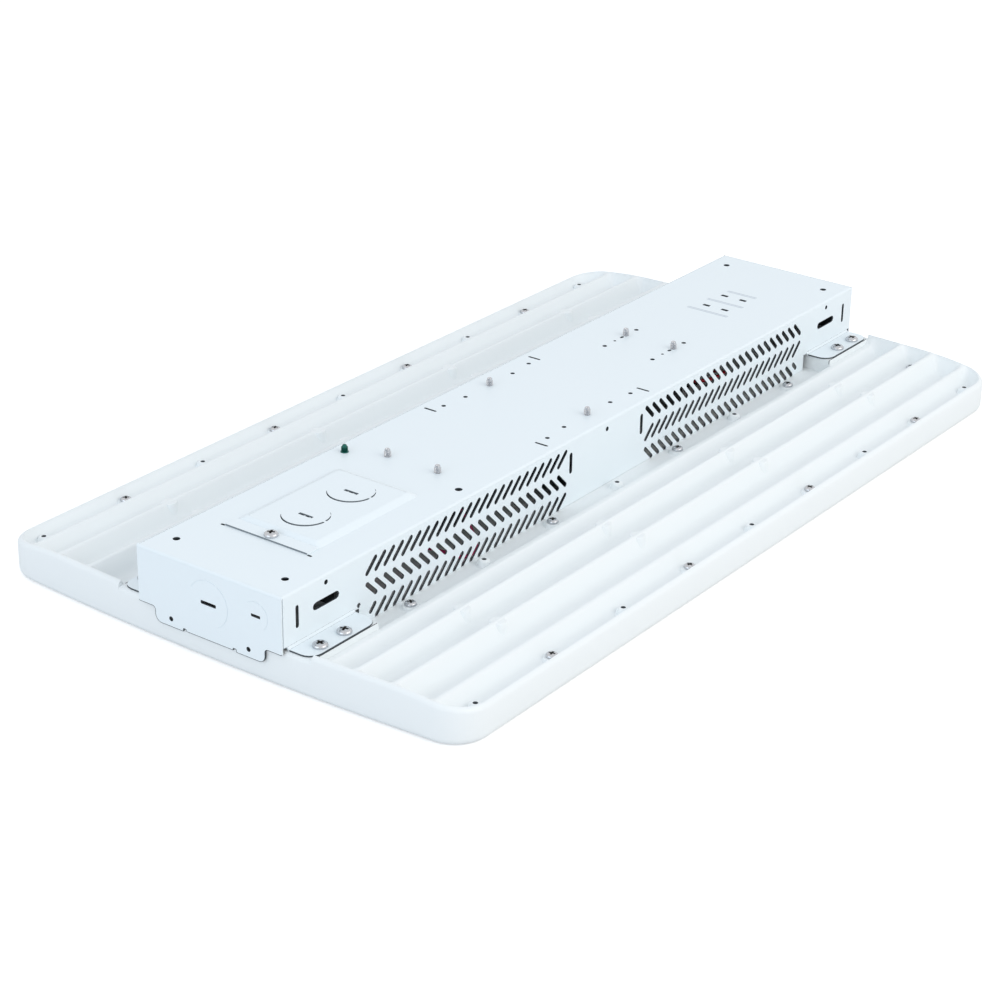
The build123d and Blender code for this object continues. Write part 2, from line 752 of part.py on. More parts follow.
# Push-in connectors lying on the tray floor, under the access cover
connector_ys = [connector_pitch * (k - (connector_count - 1) / 2) for k in range(connector_count)]
with BuildPart() as wire_connectors:
    with BuildSketch(Plane.XY.offset(valley_floor)):
        with Locations(*[(connector_x, y) for y in connector_ys]):
            Rectangle(connector_length, connector_width)
    extrude(amount=connector_height)

# Leads from the driver's input end to the connectors
connector_face = connector_x + connector_length / 2
plug_height = valley_floor + connector_height / 2


def supply_lead(index):
    """Lead from the driver down to one connector."""
    y = connector_ys[index]
    start_y = y / 2
    return lead(
        [
            (-driver_half_length, start_y, wire_height),
            (-driver_half_length - wire_turn_run, start_y, wire_height),
            (-driver_half_length - wire_drop_run, y, plug_height),
            (connector_face, y, plug_height),
        ]
    )


supply_lead_black = supply_lead(1)
supply_lead_white = supply_lead(2)
dimming_lead_violet = supply_lead(0)
ground_lead = lead(
    [
        (ground_screw_place[0], ground_screw_place[1], sheet_under - cover_shank_length + sheet),
        (ground_screw_place[0], ground_screw_place[1], plug_height),
        (-driver_half_length - wire_drop_run, connector_ys[3], plug_height),
        (connector_face, connector_ys[3], plug_height),
    ]
)


def output_leads(x, y_spread):
    """Pair of leads from the driver down through the grommet to both boards."""
    terminal_z = floor_underside - board_thickness - terminal_height / 2
    wires = []
    for side in (-1, 1):
        y = side * y_spread
        points = [
            (driver_half_length, y, output_height),
            (x - output_slope_run, y, output_height),
            (x, y, valley_floor + output_drop),
            (x, y, terminal_z),
            (x, side * board_inner_y, terminal_z),
        ]
        wires.append(lead(points).part)
    with BuildPart() as pair:
        add(wires)
    return pair


output_leads_red = output_leads(grommet_x - output_spread_x, red_spread_y)
output_leads_black = output_leads(grommet_x + output_spread_x, black_spread_y)

pieces = {
    "tray": tray,
    "lens": lens,
    "led_board_left": led_board_left,
    "led_board_right": led_board_right,
    "led_chips_left": led_chips_left,
    "led_chips_right": led_chips_right,
    "board_terminals": board_terminals,
    "driver_channel": driver_channel,
    "access_cover": access_cover,
    "cover_screw": cover_screw,
    "ground_screw": ground_screw,
    "foot_screws": foot_screws,
    "inner_screws": inner_screws,
    "outer_screws": outer_screws,
    "end_screws": end_screws,
    "driver": driver,
    "driver_screws": driver_screws,
    "selector_switches": selector_switches,
    "switch_board": switch_board,
    "switch_spacers": switch_spacers,
    "lead_grommet": lead_grommet,
    "wire_connectors": wire_connectors,
    "supply_lead_black": supply_lead_black,
    "supply_lead_white": supply_lead_white,
    "dimming_lead_violet": dimming_lead_violet,
    "ground_lead": ground_lead,
    "output_leads_red": output_leads_red,
    "output_leads_black": output_leads_black,
}
for label, piece in pieces.items():
    piece.part.label = label
    export_step(piece.part, f"parts/{label}.step")
    print(label, len(piece.part.solids()), "solids", round(piece.part.volume, 1))
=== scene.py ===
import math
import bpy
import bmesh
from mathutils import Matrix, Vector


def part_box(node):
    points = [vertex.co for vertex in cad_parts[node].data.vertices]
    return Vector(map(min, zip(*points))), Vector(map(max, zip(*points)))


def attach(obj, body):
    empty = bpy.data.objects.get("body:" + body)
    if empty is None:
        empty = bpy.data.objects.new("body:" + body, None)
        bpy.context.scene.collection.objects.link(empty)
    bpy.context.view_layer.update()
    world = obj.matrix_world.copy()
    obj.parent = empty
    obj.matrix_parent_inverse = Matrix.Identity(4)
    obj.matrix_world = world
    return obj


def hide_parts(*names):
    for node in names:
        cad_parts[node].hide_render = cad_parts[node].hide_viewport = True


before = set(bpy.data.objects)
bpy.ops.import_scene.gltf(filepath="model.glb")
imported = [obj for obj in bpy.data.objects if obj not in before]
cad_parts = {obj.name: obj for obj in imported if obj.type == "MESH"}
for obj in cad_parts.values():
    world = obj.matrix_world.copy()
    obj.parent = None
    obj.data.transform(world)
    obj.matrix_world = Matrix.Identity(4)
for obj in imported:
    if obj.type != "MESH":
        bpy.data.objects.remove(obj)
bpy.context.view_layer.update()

# %% [markdown]
# # A linear high bay light in white paint
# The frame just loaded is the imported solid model, in metres, with every piece in its place.
# This lesson dresses it: a cast tray with soft valleys, a folded and vented driver channel, crisp
# screws with cross recesses, and a bright studio. Each new mesh is worked out from the frame's own
# boxes and a few sizes in millimetres, so that it lands exactly where the solid is.

MM = 0.001


def box_mm(node):
    """Lowest and highest corner of a CAD node, in millimetres."""
    low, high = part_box(node)
    return Vector(low) / MM, Vector(high) / MM


def placed(name, data):
    """Object with this data, linked to the scene."""
    obj = bpy.data.objects.new(name, data)
    bpy.context.scene.collection.objects.link(obj)
    return obj


def add_mesh(name, points, faces, smooth_angle=35, marks=None):
    """Mesh object from points in millimetres; marks number the material of each face."""
    mesh = bpy.data.meshes.new(name)
    mesh.from_pydata([tuple(Vector(p) * MM) for p in points], [], faces)
    if marks:
        mesh.polygons.foreach_set("material_index", marks)
    mesh.validate()
    return finish_mesh(placed(name, mesh), smooth_angle)


def finish_mesh(obj, smooth_angle=35):
    """Outward normals and smooth shading with sharp creases kept."""
    work = bmesh.new()
    work.from_mesh(obj.data)
    bmesh.ops.remove_doubles(work, verts=work.verts, dist=0.000002)
    bmesh.ops.recalc_face_normals(work, faces=work.faces)
    for edge in work.edges:
        edge.smooth = len(edge.link_faces) == 2 and edge.calc_face_angle() < math.radians(smooth_angle)
    for face in work.faces:
        face.smooth = True
    work.to_mesh(obj.data)
    work.free()
    return obj


def strip_faces(count, rings_made, base=0):
    """Faces between rings of count points each."""
    faces = []
    for r in range(rings_made - 1):
        low, high = base + r * count, base + (r + 1) * count
        faces += [(low + k, low + (k + 1) % count, high + (k + 1) % count, high + k) for k in range(count)]
    return faces


channel_low, channel_high = box_mm("driver_channel")
tray_low, tray_high = box_mm("tray")
print("tray", tray_low[:], tray_high[:], "channel", channel_low[:], channel_high[:])

# %% [markdown]
# ## Paint, plating and plastic
# White powder coat is not flat white: it is a slightly blue grey-white with a soft gloss and a very fine
# orange-peel surface. One small helper adds a node and sets its inputs, and one function turns a colour
# written as on a paint card into the linear values that the shader needs.

# %% Material helpers


def linear(card):
    """Linear RGBA from a colour written as six hex digits."""
    parts = [int(card[i : i + 2], 16) / 255 for i in (0, 2, 4)]
    return [p / 12.92 if p <= 0.04045 else ((p + 0.055) / 1.055) ** 2.4 for p in parts] + [1.0]


def set_inputs(tree, node, **inputs):
    """Set the named inputs of a node, and link those that are given as sockets."""
    for name, value in inputs.items():
        socket = node.inputs[name.replace("_", " ")]
        if isinstance(value, bpy.types.NodeSocket):
            tree.links.new(value, socket)
        else:
            socket.default_value = value


def add_node(tree, kind, **inputs):
    """Node of a kind with the named inputs set."""
    node = tree.nodes.new(kind)
    set_inputs(tree, node, **inputs)
    return node


def paint(name, card, roughness, metallic=0.0, grain=0.0, grain_size=900.0, mottle=0.0):
    """Painted, moulded or plated surface with optional grain in the relief and in the tone."""
    material = bpy.data.materials.new(name)
    material.use_nodes = True
    tree = material.node_tree
    shader = tree.nodes["Principled BSDF"]
    set_inputs(tree, shader, Base_Color=linear(card), Roughness=roughness, Metallic=metallic)
    place = add_node(tree, "ShaderNodeTexCoord")
    noise = add_node(tree, "ShaderNodeTexNoise", Vector=place.outputs["Object"], Scale=grain_size, Detail=3.0)
    if grain:
        bump = add_node(tree, "ShaderNodeBump", Height=noise.outputs["Fac"], Strength=grain, Distance=0.0002)
        set_inputs(tree, shader, Normal=bump.outputs["Normal"])
    if mottle:
        spread = add_node(tree, "ShaderNodeMapRange", Value=noise.outputs["Fac"])
        set_inputs(tree, spread, To_Min=roughness - mottle, To_Max=roughness + mottle)
        set_inputs(tree, shader, Roughness=spread.outputs["Result"])
    return material


white_paint = paint("white_powder_coat", "EAF2F6", 0.42, grain=0.12, grain_size=1400)
# Painted shade: the sheet's inner faces and cut edges are dark grey, though the real sheet is white inside too.
painted_shade_sheet = paint("painted_shade_on_sheet", "474E53", 0.7)
# Lighter painted shade for the access cover's inner face and cut edges.
painted_soft_shade = paint("painted_soft_shade_on_sheet", "7D858B", 0.7)
tray_white = paint("white_moulded_tray", "EEF2F3", 0.5, grain=0.05, grain_size=700)
lens_white = paint("frosted_lens", "F1F3F2", 0.55)
nickel = paint("nickel_plated_screw", "C4C6CA", 0.26, metallic=1.0, mottle=0.08)
# Painted shade for the faces inside screw recesses.
painted_recess_shade = paint("painted_screw_recess_shade", "23211F", 0.6)
# Painted shade for the tray's pilot holes and the gap beside each foot.
painted_hollow_shade = paint("painted_hollow_shade_grey", "5C6164", 0.7)
ground_green = paint("green_ground_screw", "125A50", 0.3, metallic=0.5)
driver_black = paint("driver_case", "17191B", 0.6, grain=0.1)
# Black plastic for the switches and the grommet; it also fills the plugs that are painted shade in the end flap holes.
black_plastic = paint("black_plastic", "151516", 0.5)
board_white = paint("board_solder_mask", "E9ECEA", 0.4)
board_green = paint("green_solder_mask", "1F5B38", 0.4)
chip_yellow = paint("led_phosphor", "E8C34A", 0.35)
print_grey = paint("grey_print", "C3CBD4", 0.6)
wire_red = paint("red_wire", "C4182C", 0.4)
wire_black = paint("black_wire", "1B1B1C", 0.4)
wire_violet = paint("violet_wire", "B8125E", 0.4)
wire_green = paint("green_wire", "2E7D46", 0.4)
wire_white = paint("white_wire", "E4E4E2", 0.4)
connector_grey = paint("grey_connector", "4A4F54", 0.4)
print("materials", len(bpy.data.materials))

# %% [markdown]
# ## The tray, a moulded shell with soft valleys
# Seen from the end, the tray is one wavy line: round-topped ridges with hollow valleys between them, a
# wide bay for the driver channel in the middle, and a rim that sinks a little towards the long sides. The
# ridge beside the channel is lower than the rest, so the screws behind it stay in sight, and the outermost
# one is a little lower too. A subdivision surface would blur the ridges, so the wave is drawn first as a
# line with round corners, and every mesh row then lies on one of its points.

# %% The wave across the tray
HALF_X, HALF_Y = tray_high.x, tray_high.y
RIDGE_TOP, VALLEY_FLOOR = 26.9, 14.0
SHELF, SHELF_START = 24.0, 246.0
RIM_FALL, RIM_FALL_WIDTH = 5.3, 58.0
OUTER_VALLEY, VALLEY_PITCH = 160.5, 24.6
VALLEYS = [OUTER_VALLEY - VALLEY_PITCH * k for k in range(4)]
SLOPE_TOP, SLOPE_FOOT = 11.0, 5.3
RIDGE_ROUND, FLOOR_ROUND, BAY_ROUND = 1.7, 6.0, 3.0
BAY_TOP_HALF, FLANK_RUN = 71.7, 2.9
FIRST_RIDGE_DROP, LAST_RIDGE_DROP = 6.4, 1.5
LOW_RIDGES = ((VALLEYS[-1] - VALLEY_PITCH / 2, FIRST_RIDGE_DROP), (VALLEYS[0] - VALLEY_PITCH / 2, LAST_RIDGE_DROP))


def turned(vector, angle):
    """2D vector turned anticlockwise."""
    c, s = math.cos(angle), math.sin(angle)
    return Vector((vector[0] * c - vector[1] * s, vector[0] * s + vector[1] * c))


def rounded(points, radii, steps=5):
    """Open line through 2D points with an arc of the given radius at each inner corner."""
    line = [Vector(points[0])]
    for before, here, after, radius in zip(points, points[1:], points[2:], radii):
        corner = Vector(here)
        arrive = (corner - Vector(before)).normalized()
        leave = (Vector(after) - corner).normalized()
        turn = math.atan2(arrive.x * leave.y - arrive.y * leave.x, arrive.dot(leave))
        start = corner - arrive * radius * math.tan(abs(turn) / 2)
        centre = start + turned(arrive, math.copysign(math.pi / 2, turn)) * radius
        line += [centre + turned(start - centre, turn * k / steps) for k in range(steps + 1)]
    return line + [Vector(points[-1])]


def ridge_drop(y):
    """How much lower than the other ridges the wave is at y."""
    return next((drop for ridge, drop in LOW_RIDGES if abs(y - ridge) < 2), 0.0)


valley_corners = [(-SLOPE_TOP, RIDGE_TOP, RIDGE_ROUND), (-SLOPE_FOOT, VALLEY_FLOOR, FLOOR_ROUND)]
valley_corners += [(-offset, level, radius) for offset, level, radius in reversed(valley_corners)]
wave_corners = [(0, VALLEY_FLOOR), (BAY_TOP_HALF - FLANK_RUN, VALLEY_FLOOR)]
wave_corners.append((BAY_TOP_HALF, RIDGE_TOP - FIRST_RIDGE_DROP))
wave_radii = [BAY_ROUND, RIDGE_ROUND]
for valley in reversed(VALLEYS):
    for offset, level, radius in valley_corners:
        wave_corners.append((valley + offset, level - ridge_drop(valley + offset)))
        wave_radii.append(radius)
wave = rounded(wave_corners[:-2] + [(OUTER_VALLEY, VALLEY_FLOOR)], wave_radii[:-2])
wave_ys = [point.x for point in wave]
wave_zs = [point.y for point in wave]
print("points on half of the wave", len(wave))

# %% [markdown]
# The same line cannot simply be pushed along the tray, because the ends bow outward and the corners are
# round. So the outline is walked once, and each of its points knows which way is inward. Rings of points
# at growing distances inward make the outer wall, the rounded rim and the slope that closes each valley.
# Only the last ring is joined across the tray.

# %% The outline and the heights
END_BOW, PLAN_CORNER = 6.7, 22.0
RIM_ROUND, BASE_ROUND = 2.8, 5.0
RIM_WALL, INNER_RING = 2.4, 10.5
CLOSE_RUN, CLOSE_DEEP, CLOSE_ROUNDS = 4.8, 12.9, [1.6, 4.4]
GROOVE, GROOVE_DEEP, GROOVE_END = (70.7, 71.2), 3.0, 6.0
LATE_TURN = 8
bow_radius = (HALF_Y**2 + END_BOW**2) / (2 * END_BOW)
bow_centre = HALF_X - bow_radius
corner_y = HALF_Y - PLAN_CORNER
corner_x = bow_centre + math.sqrt((bow_radius - PLAN_CORNER) ** 2 - corner_y**2)
corner_start = math.atan2(corner_y, corner_x - bow_centre)


def outline_point(y_inner):
    """Point of the outline and the way outward there, for the row that ends at y on the inner ring."""
    inner_corner = PLAN_CORNER - INNER_RING
    if y_inner >= corner_y + inner_corner * math.sin(corner_start):
        angle = math.asin(min(1.0, (y_inner - corner_y) / inner_corner))
        return corner_x + PLAN_CORNER * math.cos(angle), corner_y + PLAN_CORNER * math.sin(angle), angle
    # The place and its angle depend on each other, so a few rounds settle them. The angle stays small
    # along the end and turns late, close to the corner.
    y = y_inner
    for _ in range(12):
        angle = corner_start * (y / (bow_radius * math.sin(corner_start))) ** LATE_TURN
        y = y_inner + INNER_RING * math.sin(angle)
    return bow_centre + math.sqrt(bow_radius**2 - y**2), y, angle


def rim_height(y):
    """Height of the rim and of the ridge tops, which sink towards the long sides."""
    fall_radius = (RIM_FALL_WIDTH**2 + RIM_FALL**2) / (2 * RIM_FALL)
    past = max(0.0, abs(y) - (HALF_Y - RIM_FALL_WIDTH))
    return RIDGE_TOP - (fall_radius - math.sqrt(fall_radius**2 - past**2))


def along(xs, ys, x):
    """Value at x on the line through the points."""
    if x >= xs[-1]:
        return ys[-1]
    k = max(1, next(i for i, value in enumerate(xs) if value >= x))
    share = (x - xs[k - 1]) / max(1e-9, xs[k] - xs[k - 1])
    return ys[k - 1] + share * (ys[k] - ys[k - 1])


close_corners = [(0, 0), (RIM_WALL, 0), (RIM_WALL + CLOSE_RUN, CLOSE_DEEP), (INNER_RING + 3, CLOSE_DEEP)]
close_line = rounded(close_corners, CLOSE_ROUNDS, 4)


def surface(x, y, inward):
    """Height of the tray's top at a place that far inside the outline."""
    level = along(wave_ys, wave_zs, abs(y))
    if abs(y) <= BAY_TOP_HALF:
        if abs(x) > SHELF_START and inward > GROOVE_END and GROOVE[0] < abs(y) < GROOVE[1]:
            return SHELF - GROOVE_DEEP
        return max(level, SHELF) if abs(x) > SHELF_START else level
    top = rim_height(y)
    closed = along([p.x for p in close_line], [p.y for p in close_line], inward) / CLOSE_DEEP
    level = VALLEY_FLOOR + (level - VALLEY_FLOOR) * (top - VALLEY_FLOOR) / (RIDGE_TOP - VALLEY_FLOOR)
    return top - (top - level) * closed


CORNER_ROWS = 14
BAY_ROWS = {5.0, 20.0, 40.0, 55.0}
groove_rows = {round(edge + step, 2) for edge in GROOVE for step in (-0.02, 0.02)}
corner_angles = [corner_start + (math.pi / 2 - corner_start) * k / CORNER_ROWS for k in range(CORNER_ROWS + 1)]
row_ys = [round(y, 4) for y in wave_ys if y < HALF_Y - INNER_RING]
row_ys += [corner_y + (PLAN_CORNER - INNER_RING) * math.sin(a) for a in corner_angles]
row_ys = sorted({round(y, 3) for y in row_ys} | BAY_ROWS | groove_rows)
half_columns = [40, 120, 200, SHELF_START - 0.01, SHELF_START + 0.01, SHELF_START + 1, SHELF_START + 18]
COLUMNS = [-x for x in reversed(half_columns)] + [0] + half_columns
quarter = [outline_point(y) for y in row_ys]
print("rows on one half", len(row_ys), "corner centre", round(corner_x, 2), round(corner_y, 2))

# %% [markdown]
# The walk goes round the whole outline, far end, one long side, near end, other long side, once for each
# ring. Then the rows cross the tray. Faces low in the thin gap beside each foot get a second material,
# because hardly any light comes back from there.

# %% The tray's mesh
SHELF_MARGIN = 0.35
SEAT_REACH, SEAT_HEIGHT, BASE_WIDTH = 12.0, 2.6, 6.2
SLOPE_RINGS = (3.1, 3.6, 4.2, 4.9, 5.6, 6.4, 7.4, 8.6, INNER_RING)
loop = list(quarter)
loop += [(x, HALF_Y, math.pi / 2) for x in reversed(COLUMNS)]
loop += [(-px, py, math.pi - a) for px, py, a in reversed(quarter)]
loop += [(-px, -py, math.pi + a) for px, py, a in quarter[1:]]
loop += [(x, -HALF_Y, -math.pi / 2) for x in COLUMNS]
loop += [(px, -py, -a) for px, py, a in reversed(quarter[1:])]


def ring(inward, height):
    """Ring of points that far inside the outline; height is a number or a function of x and y."""
    points = []
    for px, py, a in loop:
        x, y = px - inward * math.cos(a), py - inward * math.sin(a)
        points.append((x, y, height(x, y) if callable(height) else height))
    return points


def rim_edge(x, y):
    """Top of the outer wall, lower where the foot shelves run out through the ends."""
    return SHELF if abs(y) <= BAY_TOP_HALF - SHELF_MARGIN else rim_height(y)


rings = [ring(SEAT_REACH, SEAT_HEIGHT), ring(BASE_WIDTH, SEAT_HEIGHT), ring(BASE_WIDTH, 0.0)]
quarter_turn = [math.pi / 2 * k / 5 for k in range(6)]
for a in quarter_turn:
    rings.append(ring(BASE_ROUND * (1 - math.sin(a)), BASE_ROUND * (1 - math.cos(a))))
for a in quarter_turn:
    rings.append(ring(RIM_ROUND * (1 - math.cos(a)), lambda x, y: rim_edge(x, y) - RIM_ROUND * (1 - math.sin(a))))
for inward in SLOPE_RINGS:
    rings.append(ring(inward, lambda x, y: surface(x, y, inward)))
count = len(loop)
tray_points = [point for one in rings for point in one]
tray_faces = strip_faces(count, len(rings))
inner = (len(rings) - 1) * count
rows = len(quarter)
left_start = rows + len(COLUMNS)


def inner_end(i, side):
    """Index in the loop of the inner ring's point at row i (negative rows lie at negative y)."""
    k = abs(i)
    if side > 0:
        return k if i >= 0 else count - k
    return left_start + rows - 1 - k if i >= 0 else left_start + rows - 1 + k


previous = None
for i in range(-(rows - 1), rows):
    y = math.copysign(row_ys[abs(i)], i)
    if abs(i) == rows - 1:
        start = rows if i > 0 else left_start + 2 * rows - 1
        middle = [inner + start + k for k in range(len(COLUMNS))]
        middle = middle[::-1] if i > 0 else middle
    else:
        middle = [len(tray_points) + k for k in range(len(COLUMNS))]
        tray_points += [(x, y, surface(x, y, INNER_RING)) for x in COLUMNS]
    current = [inner + inner_end(i, -1)] + middle + [inner + inner_end(i, 1)]
    if previous:
        tray_faces += zip(previous, previous[1:], current[1:], current)
    previous = current


def in_groove(face):
    """1, marked for painted shade, for a face low in the gap between a foot and the tray, else 0."""
    x, y, z = (sum(tray_points[i][axis] for i in face) / len(face) for axis in range(3))
    by_foot = SHELF_START < abs(x) < HALF_X - GROOVE_END
    in_gap = GROOVE[0] - 0.1 < abs(y) < GROOVE[1] + 0.1 and z > SHELF - GROOVE_DEEP - 0.5
    return 1 if by_foot and in_gap else 0


tray_shell = add_mesh("tray_shell", tray_points, tray_faces, 50, [in_groove(face) for face in tray_faces])
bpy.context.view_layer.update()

# %% [markdown]
# ## Bosses and pads
# Each screw sits on a low pad, each unused pilot hole in a small cone, and two rows of round posts break
# through the ridges. All are turned shapes, so one helper spins a half outline round its axis. The foot
# of each outline flares and runs under the tray's surface, as a moulding's fillet would.

# %% A helper for turned shapes
def spin(profile, places, sides=28, flute=None):
    """Points and faces of a half outline (radius, height) spun at each place (x, y, z)."""
    points, faces = [], []
    for x, y, z in places:
        base = len(points)
        for radius, height in profile:
            for k in range(sides):
                a = 2 * math.pi * k / sides
                r = radius * flute(a, height) if flute else radius
                points.append((x + r * math.cos(a), y + r * math.sin(a), z + height))
        faces += strip_faces(sides, len(profile), base)
        faces.append(tuple(base + (len(profile) - 1) * sides + k for k in range(sides)))
    return points, faces


def join_parts(name, parts, smooth_angle=35):
    """One mesh object from several lists of points, faces and, where given, material numbers."""
    points, faces, marks = [], [], []
    for more_points, more_faces, *more_marks in parts:
        base = len(points)
        points += more_points
        faces += [tuple(base + i for i in face) for face in more_faces]
        marks += more_marks[0] if more_marks else [0] * len(more_faces)
    return add_mesh(name, points, faces, smooth_angle, marks)


# %% Bosses, pads and posts
SCREW_PITCH = 68.7
SCREW_STEPS = (-3, -1, 1, 3)
INNER_ROW, POST_ROWS = 62.2, (99.0, 123.6)
PAD_HEIGHT, PIN_HOLE = 2.0, 1.3


def floor_places(steps, row):
    """Places (x, y, z) on the valley floor, on both sides, at these steps of the screw pitch."""
    return [(k * SCREW_PITCH, s * row, VALLEY_FLOOR) for k in steps for s in (-1, 1)]


def pierced(profile, places, sides=28):
    """Turned shapes with the faces inside their pilot holes marked for painted shade."""
    points, faces = spin(profile, places, sides)
    bands = len(profile) - 1
    outside = next(k for k in range(bands) if profile[k + 1][0] <= PIN_HOLE)
    marks = [0] * (outside * sides) + [1] * ((bands - outside) * sides + 1)
    return points, faces, marks * len(places)


outer_places = floor_places(SCREW_STEPS, OUTER_VALLEY)
inner_places = floor_places(SCREW_STEPS, INNER_ROW)
pilot_places = floor_places((-4, -2, 0, 2, 4), OUTER_VALLEY) + floor_places((-2, 0, 2), INNER_ROW)
pad = [(6.0, -0.1), (5.4, 0.4), (5.0, 1.6), (4.7, PAD_HEIGHT), (0.0, PAD_HEIGHT)]
cone = [(5.2, -0.1), (4.4, 0.4), (3.9, 1.8), (3.5, 3.2), (3.1, 3.8), (2.6, 4.0)]
cone += [(1.5, 4.0), (1.25, 3.8), (1.2, -1.0), (0.0, -1.0)]
bosses = join_parts("tray_bosses", [spin(pad, outer_places + inner_places), pierced(cone, pilot_places)])
posts = []
for x in (k * SCREW_PITCH for k in SCREW_STEPS):
    for row in POST_ROWS:
        top = rim_height(row) - VALLEY_FLOOR - 0.5
        post = [(5.8, -0.1), (5.2, 0.6), (5.0, 1.6), (4.9, top - 0.8), (4.6, top - 0.2), (4.1, top)]
        post += [(1.4, top), (1.1, top - 0.1), (1.0, top - 2.5), (0.0, top - 2.5)]
        posts += [pierced(post, [(x, s * row, VALLEY_FLOOR)], 36) for s in (-1, 1)]
ridge_posts = join_parts("tray_ridge_posts", posts)
print("bosses", len(pilot_places), "pads", len(outer_places + inner_places), "posts", len(posts))

# %% [markdown]
# ## Sheet metal
# The driver channel is a flat blank, punched and then folded. Each flat face is made as the press made
# it, a 2D outline with its holes, filled and given the thickness of the sheet. The folds between them are
# quarter tubes. Building the faces apart keeps every slot end round without a single boolean.

# %% Helpers for punched sheet
SHEET = 1.0
EDGE = 0.1
LAID_ON = 0.03
NEAR_FOLD, NEAR_CUT = 0.35, 0.8


def slot(cx, cy, length, width, angle=0.0, steps=4):
    """Round-ended slot of an overall length."""
    loop = []
    for end in (0, 1):
        for k in range(steps + 1):
            a = -math.pi / 2 + math.pi * k / steps + math.pi * end
            side = 1 if end == 0 else -1
            loop.append((side * (length - width) / 2 + width / 2 * math.cos(a), width / 2 * math.sin(a)))
    return [Vector((cx, cy)) + turned(p, math.radians(angle)) for p in loop]


def circle(cx, cy, radius, steps=20):
    """Round hole."""
    spokes = [2 * math.pi * k / steps for k in range(steps)]
    return [(cx + radius * math.cos(a), cy + radius * math.sin(a)) for a in spokes]


def ring_cut(cx, cy, radius, spans, gap, steps=26):
    """Curved cuts round a knockout, one for each span of degrees; gap gives the width at an angle."""
    loops = []
    for first, last in spans:
        span = [math.radians(first + (last - first) * k / steps) for k in range(steps + 1)]
        loop = [(cx + radius * math.cos(a), cy + radius * math.sin(a)) for a in span]
        loop += [(cx + (radius - gap(a)) * math.cos(a), cy + (radius - gap(a)) * math.sin(a)) for a in reversed(span)]
        loops.append(loop)
    return loops


def corners(points, radii, steps=5):
    """Closed outline with its own round corner at each point."""
    loop = []
    for k, radius in enumerate(radii):
        around = [points[k - 1], points[k], points[(k + 1) % len(points)]]
        loop += rounded(around, [radius], steps)[1:-1] if radius else [Vector(points[k])]
    return loop


def box_loop(x0, y0, x1, y1, radius=0.0):
    """Rectangle with round corners."""
    return corners([(x0, y0), (x1, y0), (x1, y1), (x0, y1)], [radius] * 4)


def window(cx, cy, half_u, half_v, radius):
    """Rectangle with round corners about its centre."""
    return box_loop(cx - half_u, cy - half_v, cx + half_u, cy + half_v, radius)


def four(x, y):
    """The four places this far from the middle."""
    return [(sx * x, sy * y) for sx in (-1, 1) for sy in (-1, 1)]


def mirrored(loop):
    """The same line seen in a mirror, still walked the same way round."""
    return [(-u, v) for u, v in reversed(loop)]


def panel(outline, holes, origin, along_u, along_v, joined=(), thickness=SHEET, pale=()):
    """Punched panel: points, faces and marks. Its outer face lies on the plane, its thickness goes inward.
    Its cut edges and its inner face are marked for painted shade, but not the edges at the joined lines (axis, place)
    or round the pale knockouts (u, v, radius)."""
    curve = bpy.data.curves.new("punched", "CURVE")
    curve.dimensions = "2D"
    curve.fill_mode = "BOTH"
    curve.extrude = thickness / 2 - EDGE
    curve.bevel_depth = EDGE
    curve.bevel_resolution = 0
    curve.offset = -EDGE
    for loop in [outline] + holes:
        spline = curve.splines.new("POLY")
        spline.points.add(len(loop) - 1)
        for point, (u, v) in zip(spline.points, loop):
            point.co = (u, v, 0, 1)
        spline.use_cyclic_u = True
    holder = bpy.data.objects.new("punched", curve)
    mesh = bpy.data.meshes.new_from_object(holder)
    u, v = Vector(along_u), Vector(along_v)
    outward = u.cross(v)
    centre = Vector(origin) - outward * thickness / 2
    points = [tuple(centre + u * p.co.x + v * p.co.y + outward * p.co.z) for p in mesh.vertices]
    faces = [tuple(face.vertices) for face in mesh.polygons]
    marks = []
    for face in mesh.polygons:
        near_line = any(abs(face.center[axis] - place) < NEAR_FOLD for axis, place in joined)
        near_line = near_line or any(abs((face.center.xy - Vector((a, b))).length - r) < NEAR_CUT for a, b, r in pale)
        marks.append(0 if face.normal.z > 0.9 or (near_line and face.normal.z > -0.9) else 1)
    bpy.data.objects.remove(holder)
    bpy.data.curves.remove(curve)
    bpy.data.meshes.remove(mesh)
    return points, faces, marks


def fold(start, end, centre_offset, from_way, to_way, outer, shown=0, thickness=SHEET, steps=5):
    """Quarter tube along a fold. Its outer side shows the paint (shown 0), or its hollow side does (shown 1); the other
    side and the long edges carry painted shade.
    """
    points, faces = [], []
    a, b = Vector(from_way), Vector(to_way)
    for place in (Vector(start), Vector(end)):
        for radius in (outer, outer - thickness):
            for k in range(steps + 1):
                angle = math.pi / 2 * k / steps
                spoke = a * math.cos(angle) + b * math.sin(angle)
                points.append(tuple(place + Vector(centre_offset) + spoke * radius))
    n = steps + 1
    marks = []
    for k in range(steps):
        for near, far in ((0, 2 * n), (n, 3 * n), (0, n), (2 * n, 3 * n)):
            faces.append((near + k, near + k + 1, far + k + 1, far + k))
        marks += [shown, 1 - shown, 0, 0]
    faces.append((0, n, 3 * n, 2 * n))
    faces.append((steps, n + steps, 3 * n + steps, 2 * n + steps))
    return points, faces, marks + [1, 1]


